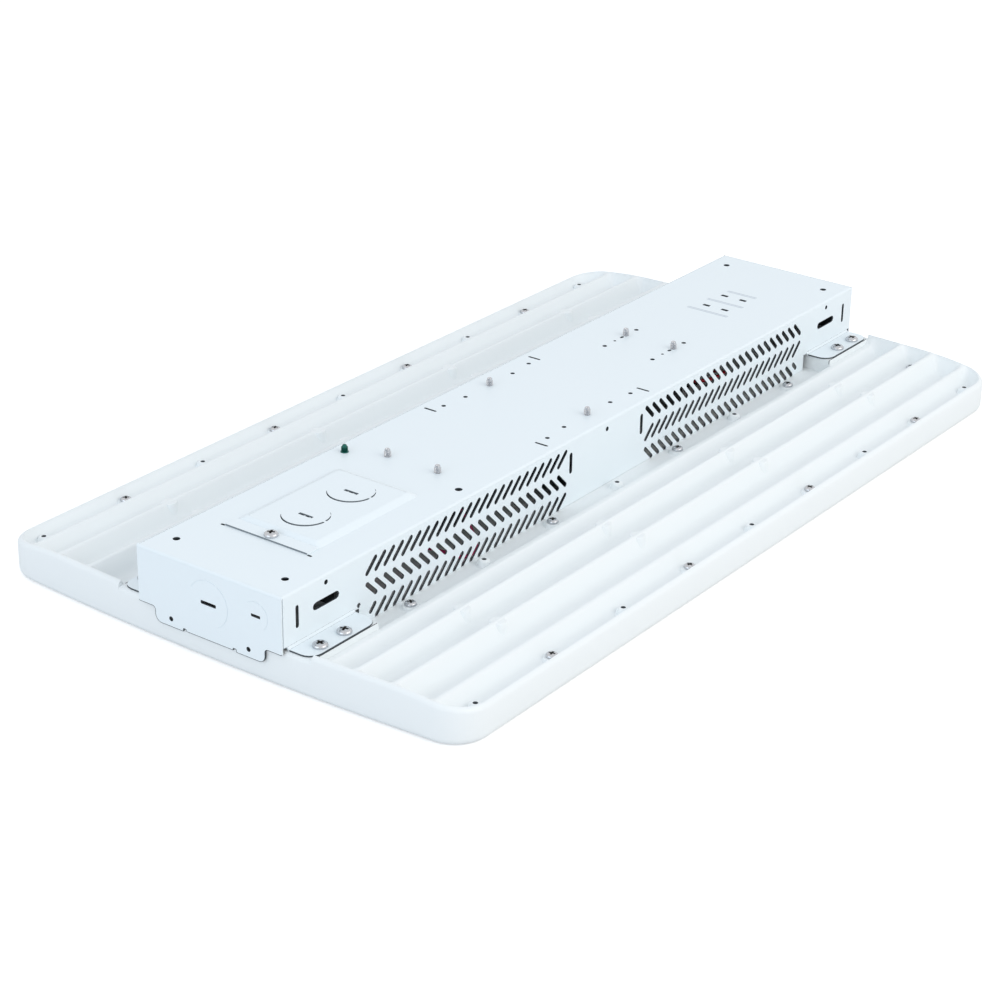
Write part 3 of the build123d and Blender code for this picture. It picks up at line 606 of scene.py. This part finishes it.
def edge_line(line, origin, along_u, along_v, width=0.34):
    """Painted shadow along the cut edge of a panel: a narrow dark ribbon that lies on its outer face."""
    u, v = Vector(along_u), Vector(along_v)
    lift = Vector(origin) + u.cross(v) * LAID_ON
    points = []
    for before, here, after in zip([line[0]] + line[:-1], line, line[1:] + [line[-1]]):
        way = (Vector(after) - Vector(before)).normalized()
        inside = Vector(here) + turned(way, math.pi / 2) * width
        points += [tuple(lift + u * a + v * b) for a, b in (here, inside)]
    faces = [(2 * k, 2 * k + 2, 2 * k + 3, 2 * k + 1) for k in range(len(line) - 1)]
    return points, faces, [1] * len(faces)


print("sheet", SHEET, "mm, broken edges", EDGE, "mm")

# %% [markdown]
# The vents are three rows of slanted slots in two groups, and the slots lean the other way in the middle
# row. The last slot of the lowest row is short, because it ends at the notch for the foot. One punch list
# serves both side walls, because the press cut them in the same stroke.

# %% The punch lists
VENT_ROWS = (47.5, 33.2, 18.9)
VENT_FIRST, VENT_PITCH, VENT_COUNT = 47.7, 7.92, 24
VENT_LENGTH, VENT_WIDTH, VENT_LEAN = 13.4, 2.8, 45
wall_holes = []
for group in (-1, 1):
    for row, z in enumerate(VENT_ROWS):
        lean = VENT_LEAN * (group if row == 1 else -group)
        for k in range(VENT_COUNT):
            x = VENT_FIRST + VENT_PITCH * k
            if row == 2 and k == VENT_COUNT - 1:
                wall_holes.append(slot(group * 228.9, 20.9, 8.0, VENT_WIDTH, lean))
            else:
                wall_holes.append(slot(group * x, z, VENT_LENGTH, VENT_WIDTH, lean))
    wall_holes.append(slot(group * 38.5, 41.9, 13.8, VENT_WIDTH, 90))
    wall_holes.append(slot(group * 292.5, 41.3, 13.7, 2.4, 90))
    wall_holes.append(slot(group * 268.6, 41.3, 21.9, 4.5))
    wall_holes.append(circle(group * 268.4, 52.5, 1.4))
wall_holes += [circle(-241.0, 27.0, 1.4), circle(0, 51.6, 1.4)]
print("holes in one side wall", len(wall_holes))

# %% [markdown]
# ## The driver channel
# One sheet makes the top, both side walls, the end flaps and the feet. The flaps are a little narrower
# than the walls, so a seam stays open down each corner. The top takes the punched holes that the solid
# has, with the same centres.

# %% Walls and top
HALF_LONG, HALF_WIDE, TOP = channel_high.x, 53.4, 57.3
BEND, SEAM = 1.5, 0.3
FOOT_START, FOOT_BEND = 245.0, 1.3
wall_end = HALF_LONG - SHEET - SEAM
foot_line = SHELF + SHEET + FOOT_BEND
channel_parts = []
wall_loop = [(-wall_end, foot_line), (-FOOT_START, foot_line), (-FOOT_START, 25.0), (-241, 25.0), (-241, VALLEY_FLOOR)]
wall_loop += mirrored(wall_loop) + [(wall_end, TOP - BEND), (-wall_end, TOP - BEND)]
wall_joined = [(1, TOP - BEND), (1, foot_line), (0, -wall_end), (0, wall_end)]
for side in (-1, 1):
    outline, holes = wall_loop, wall_holes
    if side > 0:
        outline, holes = mirrored(wall_loop), [mirrored(hole) for hole in wall_holes]
    channel_parts.append(panel(outline, holes, (0, side * HALF_WIDE, 0), (-side, 0, 0), (0, 0, 1), wall_joined))
    bend_at = (0, side * (HALF_WIDE - BEND), TOP - BEND)
    channel_parts.append(fold((-wall_end, 0, 0), (wall_end, 0, 0), bend_at, (0, 0, 1), (0, side, 0), BEND))

top_holes = [circle(x, y, 2.1) for x, y in four(286.5, 40.0)]
top_holes += [circle(x, y, 1.4, 14) for x, y in four(45.0, 40.0) + four(25.0, 38.2)]
top_holes += [circle(x, s * 19, 1.5, 14) for x in (139.2, 101.7) for s in (-1, 1)]
top_holes += [slot(121.9, s * 19, 3.4, 1.8) for s in (-1, 1)] + [circle(113.5, s * 19, 0.9, 10) for s in (-1, 1)]
top_holes += [circle(-137.5, -43.2, 2.2)]
top_holes += [slot(x, y, 9.5, 1.5, 90) for x, y in four(55.0, 42.8)]
top_holes += [window(x, s * 7.4, 1.3, 2.6, 0.3) for x in (208.6, 232.2) for s in (-1, 1)]
top_holes.append(box_loop(-243.5, -22.0, -163.0, 22.0, 3.0))
top_holes += [window(-257.0, s * 32.0, 0.7, 1.5, 0.5) for s in (-1, 1)]
top_outline = box_loop(-(HALF_LONG - BEND), -(HALF_WIDE - BEND), HALF_LONG - BEND, HALF_WIDE - BEND)
top_joined = [(0, s * (HALF_LONG - BEND)) for s in (-1, 1)] + [(1, s * (HALF_WIDE - BEND)) for s in (-1, 1)]
channel_parts.append(panel(top_outline, top_holes, (0, 0, TOP), (1, 0, 0), (0, 1, 0), top_joined))
print("walls and top", len(channel_parts), "parts,", len(top_holes), "holes in the top")

# %% [markdown]
# An end flap carries two knockouts, discs that small bridges hold in the sheet. Their cuts are hairlines,
# and a ring of sheet behind each keeps the dark inside from showing through. The flap's lower edge shows as
# a dark line, a painted shadow laid on as a narrow ribbon. Each foot is a tab folded outward, with round outer corners.

# %% Flaps and feet
FLAP_HALF, SHADE_LINE_END = 53.0, 0.1
FOOT_END, FOOT_REACH, FOOT_CORNER = 301.0, 70.8, 8.0
FOOT_SCREWS, FOOT_SCREW_ROW = (267.3, 287.5), 65.0
BACKING, BACKING_DEEP, BACKING_OUT, BACKING_IN = 0.4, 0.3, 0.8, 1.2
# For each knockout: its centre, radius, width of the cut, spans of the cut in degrees, and tool slot.
KNOCKOUTS = [
    ((0, 36.6), 14.3, 0.3, [(-62, 60), (66, 150)], (5.5, 1.0, 0.4)),
    ((34.6, 40.5), 8.8, 0.28, [(-50, 60), (68, 130)], (3.2, 0.8, 0.3)),
]
flap_side = [(-FLAP_HALF, TOP - BEND), (-FLAP_HALF, 22.2), (-40.7, 22.2), (-40.7, 13.3)]
flap_side += [(-19.6, 13.3), (-19.6, 15.2), (-17.4, 15.2), (-17.4, 13.9)]
flap_radii = [0, 0.8, 2.0, 4.5, 0.3, 0.6, 0.6, 0.2]
flap = corners(flap_side + mirrored(flap_side), flap_radii + flap_radii[::-1])
flap_joined = [(1, TOP - BEND), (0, -FLAP_HALF), (0, FLAP_HALF)]
flap_holes = []
for centre, radius, cut, spans, tool_slot in KNOCKOUTS:
    flap_holes += ring_cut(*centre, radius, spans, lambda a: cut) + [window(*centre, *tool_slot)]
flap_holes += [circle(s * 28.7, 18.3, 1.4) for s in (-1, 1)]
pale = [(*centre, radius - cut) for centre, radius, cut, *_ in KNOCKOUTS]
foot_edge = HALF_WIDE + FOOT_BEND
foot_loop = [(FOOT_START, foot_edge), (FOOT_END, foot_edge), (FOOT_END, FOOT_REACH), (FOOT_START, FOOT_REACH)]
foot_radii = [0, 0, FOOT_CORNER, FOOT_CORNER]
foot_holes = [circle(x, FOOT_SCREW_ROW, 2.2, 12) for x in FOOT_SCREWS]
for side in (-1, 1):
    ways = ((0, side, 0), (0, 0, 1))
    flap_at, behind = ((side * (HALF_LONG - deep), 0, 0) for deep in (LAID_ON, BACKING_DEEP))
    channel_parts.append(panel(flap, flap_holes, flap_at, *ways, flap_joined, SHEET, pale))
    # Painted shadow under the flap's lower edge, as a dark ribbon.
    channel_parts.append(edge_line([p for p in flap if p[1] < TOP - BEND - SHADE_LINE_END], flap_at, *ways))
    for centre, radius, *_ in KNOCKOUTS:
        rim, inside = circle(*centre, radius + BACKING_OUT, 40), circle(*centre, radius - BACKING_IN, 40)
        channel_parts.append(panel(rim, [inside], behind, *ways, (), BACKING))
    bend_at = (side * (HALF_LONG - BEND), 0, TOP - BEND)
    channel_parts.append(fold((0, -FLAP_HALF, 0), (0, FLAP_HALF, 0), bend_at, (0, 0, 1), (side, 0, 0), BEND))
    for across in (-1, 1):
        turn = side * across
        outline = corners([(x, turn * y) for x, y in foot_loop], foot_radii)
        holes = [[(x, turn * y) for x, y in hole] for hole in foot_holes]
        joined = [(1, turn * foot_edge)]
        channel_parts.append(panel(outline, holes, (0, 0, SHELF + SHEET), (side, 0, 0), (0, side, 0), joined))
        fold_from, fold_to = (side * FOOT_START, 0, 0), (side * FOOT_END, 0, 0)
        bend_at = (0, across * foot_edge, foot_line)
        channel_parts.append(fold(fold_from, fold_to, bend_at, (0, -across, 0), (0, 0, -1), FOOT_BEND + SHEET, 1))
channel_shell = join_parts("driver_channel_shell", channel_parts, 30)
print("channel faces", len(channel_shell.data.polygons))

# %% [markdown]
# ## The access cover
# A lid over the wiring space: a flat strip under its screw, then a pan pressed up by two and a half
# millimetres, with two knockouts. The pressed edge is a slope with soft corners, made by joining rounded
# rectangles that shrink as they rise.

# %% The pressed cover
COVER_RISE, PAN_SLOPE = 2.5, 4.9
STRIP_START, STRIP_END, COVER_SCREW = -257, -247.4, -252.5
PAN_START, PAN_END, COVER_SIDE = -248.2, -158.5, 30.5
COVER_KNOCKOUTS, COVER_KNOCKOUT_RADIUS = (-223.0, -183.0), 14.3
GAP_LEAST, GAP_SPREAD, GAP_WAY = 0.15, 1.5, 216
COVER_TOP = TOP + COVER_RISE
flat = ((1, 0, 0), (0, 1, 0))
cover_parts = []
strip = box_loop(STRIP_START, -COVER_SIDE, STRIP_END, COVER_SIDE, 0.5)
strip_joined = [(0, STRIP_END), (1, -COVER_SIDE), (1, COVER_SIDE)]
cover_parts.append(panel(strip, [circle(COVER_SCREW, 0, 2.2, 12)], (0, 0, TOP + SHEET), *flat, strip_joined))


def pan_loop(shrink, radius):
    """Outline of the pan, drawn in by shrink."""
    return box_loop(PAN_START + shrink, -COVER_SIDE + shrink, PAN_END - shrink, COVER_SIDE - shrink, radius)


def pressed_gap(a):
    """Width of the cut round a cover knockout, widest where the disc has tipped away from the sheet."""
    return GAP_LEAST + GAP_SPREAD * max(0.0, math.cos(a - math.radians(GAP_WAY))) ** 0.8


levels = [(0.0, 0.0), (0.25, 0.35), (3.6, 2.05), (4.1, 2.35), (PAN_SLOPE, COVER_RISE)]
slope_points = []
for shrink, rise in levels:
    slope_points += [(u, v, TOP + rise) for u, v in pan_loop(shrink, max(0.8, 3.2 - 0.3 * shrink))]
cover_parts.append((slope_points, strip_faces(len(slope_points) // len(levels), len(levels))))
pan_holes = []
for x in COVER_KNOCKOUTS:
    pan_holes += ring_cut(x, 0, COVER_KNOCKOUT_RADIUS, [(122, 268), (276, 306), (312, 322)], pressed_gap)
    pan_holes.append(window(x, 0.0, 1.0, 5.0, 0.4))
pan_joined = [(0, PAN_START + PAN_SLOPE), (0, PAN_END - PAN_SLOPE)]
pan_joined += [(1, -COVER_SIDE + PAN_SLOPE), (1, COVER_SIDE - PAN_SLOPE)]
cover_parts.append(panel(pan_loop(PAN_SLOPE, 1.7), pan_holes, (0, 0, COVER_TOP), *flat, pan_joined))
cover_shell = join_parts("access_cover_shell", cover_parts, 30)
print("cover faces", len(cover_shell.data.polygons))

# %% [markdown]
# ## Screws
# A pan head is a shallow dome with a cross recess. The dome is spun, and the cross is cut with a boolean,
# once; every screw then copies that one mesh with its own turn, because no two screws stop alike.

# %% One pan head with a cross recess
BOX_FACES = [(0, 1, 2, 3), (4, 5, 6, 7)] + strip_faces(4, 2)


def pan_head(radius, height):
    """Mesh points and faces of a pan head with a cross recess, lying on z = 0, in millimetres."""
    dome = [(radius * 0.97, 0.0), (radius, height * 0.12), (radius, height * 0.35), (radius * 0.93, height * 0.65)]
    dome += [(radius * 0.78, height * 0.86), (radius * 0.55, height * 0.96), (radius * 0.25, height), (0.0, height)]
    head = join_parts("pan_head", [spin(dome, [(0, 0, 0)], 32)])
    arm, narrow, deep = radius * 0.62, radius * 0.16, height * 0.75
    for along_x in (True, False):
        points = []
        for z, reach, half in ((height - deep, arm * 0.35, narrow * 0.7), (height + 0.3, arm, narrow * 1.15)):
            for a, b in ((-reach, -half), (reach, -half), (reach, half), (-reach, half)):
                points.append((a, b, z) if along_x else (-b, a, z))
        cutter = join_parts("cutter", [(points, BOX_FACES)])
        cut = head.modifiers.new("recess", "BOOLEAN")
        cut.object = cutter
        cut.solver = "EXACT"
        graph = bpy.context.evaluated_depsgraph_get()
        mesh = bpy.data.meshes.new_from_object(head.evaluated_get(graph))
        head.modifiers.clear()
        head.data = mesh
        bpy.data.objects.remove(cutter)
    points = [tuple(v.co / MM) for v in head.data.vertices]
    faces = [tuple(f.vertices) for f in head.data.polygons]
    # Faces inside the cross recess are marked for painted shade.
    marks = []
    for face in head.data.polygons:
        middle = face.center / MM
        marks.append(1 if middle.xy.length < arm and 0.1 < middle.z < height * 0.88 else 0)
    bpy.data.objects.remove(head)
    return points, faces, marks


def screw_group(name, places, radius, height, first_turn):
    """Heads at all the places (x, y, z), each with its own turn, as one object."""
    points, faces, marks = pan_head(radius, height)
    parts = []
    for k, (x, y, z) in enumerate(places):
        angle = math.radians(first_turn + 37 * k)
        moved = [(*(Vector((x, y)) + turned(p, angle)), z + p[2]) for p in points]
        parts.append((moved, faces, marks))
    group = join_parts(name, parts, 32)
    print(name, len(places), "heads", len(group.data.polygons), "faces")
    return group


FOOT_HEAD, COVER_HEAD, VALLEY_HEAD = (4.5, 2.6), (4.2, 2.6), (3.6, 2.3)
foot_places = [(x, y, SHELF + SHEET) for reach in FOOT_SCREWS for x, y in four(reach, FOOT_SCREW_ROW)]
end_places = [(x, y, VALLEY_FLOOR) for x, y in four(291.0, 111.3)]
inner_tops, outer_tops = ([(x, y, z + PAD_HEIGHT) for x, y, z in group] for group in (inner_places, outer_places))
foot_heads = screw_group("foot_screw_heads", foot_places, *FOOT_HEAD, 20)
inner_heads = screw_group("inner_screw_heads", inner_tops, *VALLEY_HEAD, 50)
outer_heads = screw_group("outer_screw_heads", outer_tops, *VALLEY_HEAD, 10)
end_heads = screw_group("end_screw_heads", end_places, *VALLEY_HEAD, 30)
cover_head = screw_group("cover_screw_head", [(COVER_SCREW, 0, TOP + SHEET)], *COVER_HEAD, 25)

# %% [markdown]
# ## Threaded tips and leads
# The driver hangs from six screws whose tips come through the top. A tip is a turned shape whose rings
# widen and narrow with the thread, and a cutting flute runs down either side. The green ground screw, put
# in from below, shows a threaded tip as well. The leads are round tubes swept along a smooth line through a
# few points, with the slack that real ones have.

# %% Threaded tips
EAR_UNDER = TOP - SHEET - 1.2
TIP, THREAD = 5.2, 0.7
FLUTE_WAY, FLUTE_DEPTH = 200, 0.66
GROUND_SCREW = (-137.5, 43.2, TOP)
through = TOP - EAR_UNDER


def thread(first, count, root, crest):
    """Half outline of a thread: one crest between two roots on each turn."""
    steps = ((0.1, root), (0.35, crest), (0.6, root))
    return [(radius, first + THREAD * k + step) for k in range(count) for step, radius in steps]


tip_profile = [(0.0, -2.4), (3.0, -2.4), (3.6, -1.7), (3.6, 0.0), (2.0, 0.0), (2.0, through)]
tip_profile += thread(through, int((TIP - 1.2) / THREAD), 1.8, 2.15)
tip_profile += [(1.75, through + TIP - 1.1), (1.5, through + TIP - 0.4), (0.9, through + TIP)]
ground_profile = [(2.6, -0.1), (2.5, 0.4), (2.0, 0.7)] + thread(0.8, 4, 1.6, 2.15)
ground_profile += [(1.5, 4.0), (1.2, 4.6), (0.6, 5.0)]


def cutting_flute(angle, height):
    """Share of the radius that is left where the flutes run down the tip."""
    if height < through + 0.8:
        return 1.0
    return FLUTE_DEPTH if math.cos(2 * (angle - math.radians(FLUTE_WAY))) > 0.86 else 1.0


driver_screw_places = [(x, y, EAR_UNDER) for x, y in four(126.5, 19.0) + [(0, -38.0), (0, 38.0)]]
ground_head = join_parts("ground_screw_head", [spin(ground_profile, [GROUND_SCREW])], 28)
driver_tips = join_parts("driver_screw_set", [spin(tip_profile, driver_screw_places, 28, cutting_flute)], 28)
print("tips", len(driver_screw_places), "thread turns", int((TIP - 1.2) / THREAD))

# %% Leads


def smooth_path(points, steps=7):
    """Smooth line that passes through all the points."""
    line = []
    spread = [points[0]] + points + [points[-1]]
    for a, b, c, d in zip(spread, spread[1:], spread[2:], spread[3:]):
        a, b, c, d = Vector(a), Vector(b), Vector(c), Vector(d)
        for k in range(steps):
            t = k / steps
            line.append((2 * b + (c - a) * t + (2 * a - 5 * b + 4 * c - d) * t**2 + (3 * b - a - 3 * c + d) * t**3) / 2)
    return line + [Vector(points[-1])]


def tube(points, radius=1.1, sides=12):
    """Round lead along a smooth line."""
    line = smooth_path(points)
    side = Vector((0.1, 0.2, 1.0))
    points_out = []
    for k, here in enumerate(line):
        ahead = (line[min(k + 1, len(line) - 1)] - line[max(k - 1, 0)]).normalized()
        side = (side - ahead * side.dot(ahead)).normalized()
        other = ahead.cross(side)
        for j in range(sides):
            a = 2 * math.pi * j / sides
            points_out.append(tuple(here + (side * math.cos(a) + other * math.sin(a)) * radius))
    ends = [tuple(range(sides)), tuple((len(line) - 1) * sides + j for j in range(sides))]
    return points_out, strip_faces(sides, len(line)) + ends


PLUG = VALLEY_FLOOR + 4.25
DRIVER_END, PLUG_END = -118, -214
OUTLET, UNDER_TRAY = 170.5, 8.1
violet_line = [(DRIVER_END, -11.2, 38), (-121, -26, 39), (-124, -40, 30), (-125, -47, 16), (-138, -47.5, 15)]
violet_line += [(-152, -43.5, 22.5), (-164, -34, 26), (-190, -25, PLUG), (PLUG_END, -22.5, PLUG)]
black_line = [(DRIVER_END, -3.8, 38), (-140, -3.8, 38), (-158, -5.6, 27), (-176, -7.5, PLUG), (PLUG_END, -7.5, PLUG)]
white_line = [(x, -y, z) for x, y, z in black_line]
green_line = [(-137.5, 43.2, 51), (-137.5, 43.2, 30), (-150, 36, 20), (-176, 22.5, PLUG), (PLUG_END, 22.5, PLUG)]
red_near = [(118, -1.6, 30), (126, -24, 35), (136, -40, 37), (158, -40, 35.5), (168, -20, 28), (OUTLET, -1.6, 19)]
red_near += [(OUTLET, y, UNDER_TRAY) for y in (-1.6, -60, -68)]
red_far = [(118, 1.6, 30), (135, 1.6, 31), (156, 1.6, 27), (OUTLET, 1.6, 17)]
red_far += [(OUTLET, y, UNDER_TRAY) for y in (1.6, 60, 68)]
red_lines, dark_lines = [red_near, red_far], []
for s in (-1, 1):
    dark = [(118, s * 4.8, 30), (135, s * 4.8, 31), (158, s * 4.8, 27), (OUTLET + 3, s * 4.8, 17)]
    dark_lines.append(dark + [(OUTLET + 3, s * y, UNDER_TRAY) for y in (4.8, 60, 68)])
leads = {
    "dimming_lead_tube": ("dimming_lead_violet", wire_violet, "wire_violet", [violet_line]),
    "supply_black_tube": ("supply_lead_black", wire_black, "wire_black", [black_line]),
    "supply_white_tube": ("supply_lead_white", wire_white, "wire_white", [white_line]),
    "ground_lead_tube": ("ground_lead", wire_green, "wire_green", [green_line]),
    "output_red_tubes": ("output_leads_red", wire_red, "wire_red", red_lines),
    "output_black_tubes": ("output_leads_black", wire_black, "wire_black", dark_lines),
}
lead_pieces = {name: join_parts(name, [tube(line) for line in lines], 60) for name, (_, _, _, lines) in leads.items()}
print("leads", {name: len(piece.data.polygons) for name, piece in lead_pieces.items()})

# %% [markdown]
# ## Small prints and painted hole shade
# Three lines of small print stand beside the selector windows. Only their place and tone are kept, as
# plain grey bars that lie on the paint. The two holes low in each end flap look dark, because a black plug
# sits just behind each of them as painted shade.

# %% Printed bars and painted hole shade
BARS = ((241.5, -12.6, 10.7), (220.0, -15.0, 14.0), (198.5, -16.0, 16.4))
BAR_SHIFT, BAR_HALF = 0.9, 0.45
SHADE_PLUG, SHADE_PLUG_DEPTHS = (28.7, 18.3, 1.9), (303.4, 303.97)
bars = []
for x, y0, y1 in BARS:
    for middle in (x - BAR_SHIFT, x + BAR_SHIFT):
        low, high = middle - BAR_HALF, middle + BAR_HALF
        bar = [(low, y0), (high, y0), (high, y1), (low, y1)]
        bars.append(([(a, b, z) for z in (TOP + LAID_ON, TOP - LAID_ON) for a, b in bar], BOX_FACES))
print_bars = join_parts("selector_print", bars)
# Painted shade: dark plugs just behind the small holes low in each end flap.
painted_shade = []
for side in (-1, 1):
    for across in (-1, 1):
        y, z, radius = SHADE_PLUG
        rim = [(side * x, u, v) for x in SHADE_PLUG_DEPTHS for u, v in circle(across * y, z, radius)]
        half = len(rim) // 2
        ends = [tuple(range(half)), tuple(range(2 * half - 1, half - 1, -1))]
        painted_shade.append((rim, strip_faces(half, 2) + ends))
hole_shade_plugs = join_parts("painted_hole_shade_plugs", painted_shade)
print("bars", len(bars), "blind holes", len(painted_shade))

# %% [markdown]
# ## Finishes and places
# Each new mesh takes its paint, rides on the one body and stands in for its solid. Most have a second
# material, for cut edges, recesses and holes. The pieces inside the light keep the solid's own shape,
# because the vents show little of them, and only take a colour.

# %% Finishes and places
finishes = [
    (tray_shell, tray_white, "tray"),
    (bosses, tray_white, "tray"),
    (ridge_posts, tray_white, "tray"),
    (channel_shell, white_paint, "driver_channel"),
    (cover_shell, white_paint, "access_cover"),
    (foot_heads, nickel, "foot_screws"),
    (inner_heads, nickel, "inner_screws"),
    (outer_heads, nickel, "outer_screws"),
    (end_heads, nickel, "end_screws"),
    (cover_head, nickel, "cover_screw"),
    (ground_head, ground_green, "ground_screw"),
    (driver_tips, nickel, "driver_screws"),
    (print_bars, print_grey, "driver_channel"),
    (hole_shade_plugs, black_plastic, "tray"),
]
# For each paint: its slot and its second material, which is painted shade for the tray, the sheet and the screws.
slots = {
    tray_white: ("tray", painted_hollow_shade), white_paint: ("painted_steel", painted_shade_sheet), nickel: ("screw", painted_recess_shade),
    ground_green: ("ground_screw", painted_recess_shade), print_grey: ("painted_steel", print_grey),
    black_plastic: ("tray", black_plastic),
}
for piece, material, node in finishes:
    slot_name, second = slots[material]
    piece.data.materials.append(material)
    piece.data.materials.append(painted_soft_shade if node == "access_cover" else second)
    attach(piece, "root")
    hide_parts(node)
for name, (node, material, slot_name, _) in leads.items():
    piece = lead_pieces[name]
    piece.data.materials.append(material)
    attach(piece, "root")
    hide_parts(node)
solid_finishes = {
    "lens": lens_white, "led_board_left": board_white, "led_board_right": board_white, "led_chips_left": chip_yellow,
    "led_chips_right": chip_yellow, "board_terminals": board_white, "driver": driver_black,
    "selector_switches": black_plastic, "switch_board": board_green, "switch_spacers": nickel,
    "lead_grommet": black_plastic, "wire_connectors": connector_grey,
}
for node, material in solid_finishes.items():
    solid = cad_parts[node]
    solid.data.materials.clear()
    solid.data.materials.append(material)
print("dressed", len(finishes) + len(leads) + len(solid_finishes), "pieces")

# %% [markdown]
# ## Studio
# The floor is plain and pale, and the world is a soft light that is a little cooler overhead. Two large soft
# lamps, one slightly warm and one cool, give the walls a little shape. What the camera sees behind the
# object is pure white, by way of the Light Path node, while the light on the object stays at a level at
# which a colour renders about as it is written.

# %% Floor, world, lamps and camera
FLOOR_HALF, FLOOR_LIFT = 6, 0.42
SKY_LOW, SKY_HIGH, SKY_STRENGTH = "FBFCFC", "F2F8FF", 0.86
AIM = Vector((0, 0, 0.03))
floor_mesh = bpy.data.meshes.new("studio_floor")
floor_corners = [(x * FLOOR_HALF, y * FLOOR_HALF, 0) for x, y in ((-1, -1), (1, -1), (1, 1), (-1, 1))]
floor_mesh.from_pydata(floor_corners, [], [(0, 1, 2, 3)])
floor = placed("studio_floor", floor_mesh)
floor_finish = bpy.data.materials.new("pale_studio_floor")
floor_finish.use_nodes = True
tree = floor_finish.node_tree
shader = tree.nodes["Principled BSDF"]
set_inputs(tree, shader, Base_Color=linear("E8E8E8"), Roughness=0.9, Specular_IOR_Level=0.1)
path = add_node(tree, "ShaderNodeLightPath")
lift = add_node(tree, "ShaderNodeMath")
lift.operation = "MULTIPLY"
tree.links.new(path.outputs["Is Camera Ray"], lift.inputs[0])
lift.inputs[1].default_value = FLOOR_LIFT
set_inputs(tree, shader, Emission_Color=(1, 1, 1, 1), Emission_Strength=lift.outputs[0])
floor.data.materials.append(floor_finish)

world = bpy.data.worlds.new("studio")
bpy.context.scene.world = world
world.use_nodes = True
tree = world.node_tree
sky = tree.nodes["Background"]
way = add_node(tree, "ShaderNodeTexCoord")
height = add_node(tree, "ShaderNodeSeparateXYZ", Vector=way.outputs["Generated"])
ramp = add_node(tree, "ShaderNodeValToRGB", Fac=height.outputs["Z"])
ramp.color_ramp.elements[0].color = linear(SKY_LOW)
ramp.color_ramp.elements[1].color = linear(SKY_HIGH)
set_inputs(tree, sky, Color=ramp.outputs["Color"], Strength=SKY_STRENGTH)
path = add_node(tree, "ShaderNodeLightPath")
seen = path.outputs["Is Camera Ray"]
for name in ("Is Glossy Ray", "Is Transmission Ray"):
    either = add_node(tree, "ShaderNodeMath")
    either.operation = "MAXIMUM"
    tree.links.new(seen, either.inputs[0])
    tree.links.new(path.outputs[name], either.inputs[1])
    seen = either.outputs[0]
backdrop = add_node(tree, "ShaderNodeBackground", Color=(1, 1, 1, 1), Strength=1.0)
choice = add_node(tree, "ShaderNodeMixShader", Fac=seen)
tree.links.new(sky.outputs["Background"], choice.inputs[1])
tree.links.new(backdrop.outputs["Background"], choice.inputs[2])
tree.links.new(choice.outputs["Shader"], tree.nodes["World Output"].inputs["Surface"])


def soft_lamp(name, place, size, power, colour):
    """Large rectangular lamp that looks at the object."""
    lamp_data = bpy.data.lights.new(name, "AREA")
    lamp_data.shape = "RECTANGLE"
    lamp_data.size, lamp_data.size_y = size
    lamp_data.energy = power
    lamp_data.color = colour
    lamp = placed(name, lamp_data)
    lamp.location = place
    lamp.rotation_euler = (AIM - lamp.location).to_track_quat("-Z", "Y").to_euler()


soft_lamp("soft_key", (0.2, -1.8, 1.1), (1.8, 1.2), 12.3, (1.0, 0.965, 0.925))
soft_lamp("soft_fill", (-1.9, 0.2, 0.7), (1.4, 1.0), 6.3, (0.68, 0.83, 1.0))

camera_data = bpy.data.cameras.new("camera")
camera_data.lens = 91.03
camera_data.sensor_width = 36
camera_data.clip_start, camera_data.clip_end = 0.05, 50
camera = placed("camera", camera_data)
right, up, forward = (0.5991, -0.8005, 0.0133), (0.3330, 0.2642, 0.9051), (0.7281, 0.5379, -0.4249)
camera.rotation_mode = "QUATERNION"
camera.rotation_quaternion = Matrix((right, up, [-v for v in forward])).transposed().to_quaternion()
camera.location = (-1.1965, -0.8555, 0.6769)
bpy.context.scene.camera = camera
bpy.context.scene.view_settings.view_transform = "Standard"
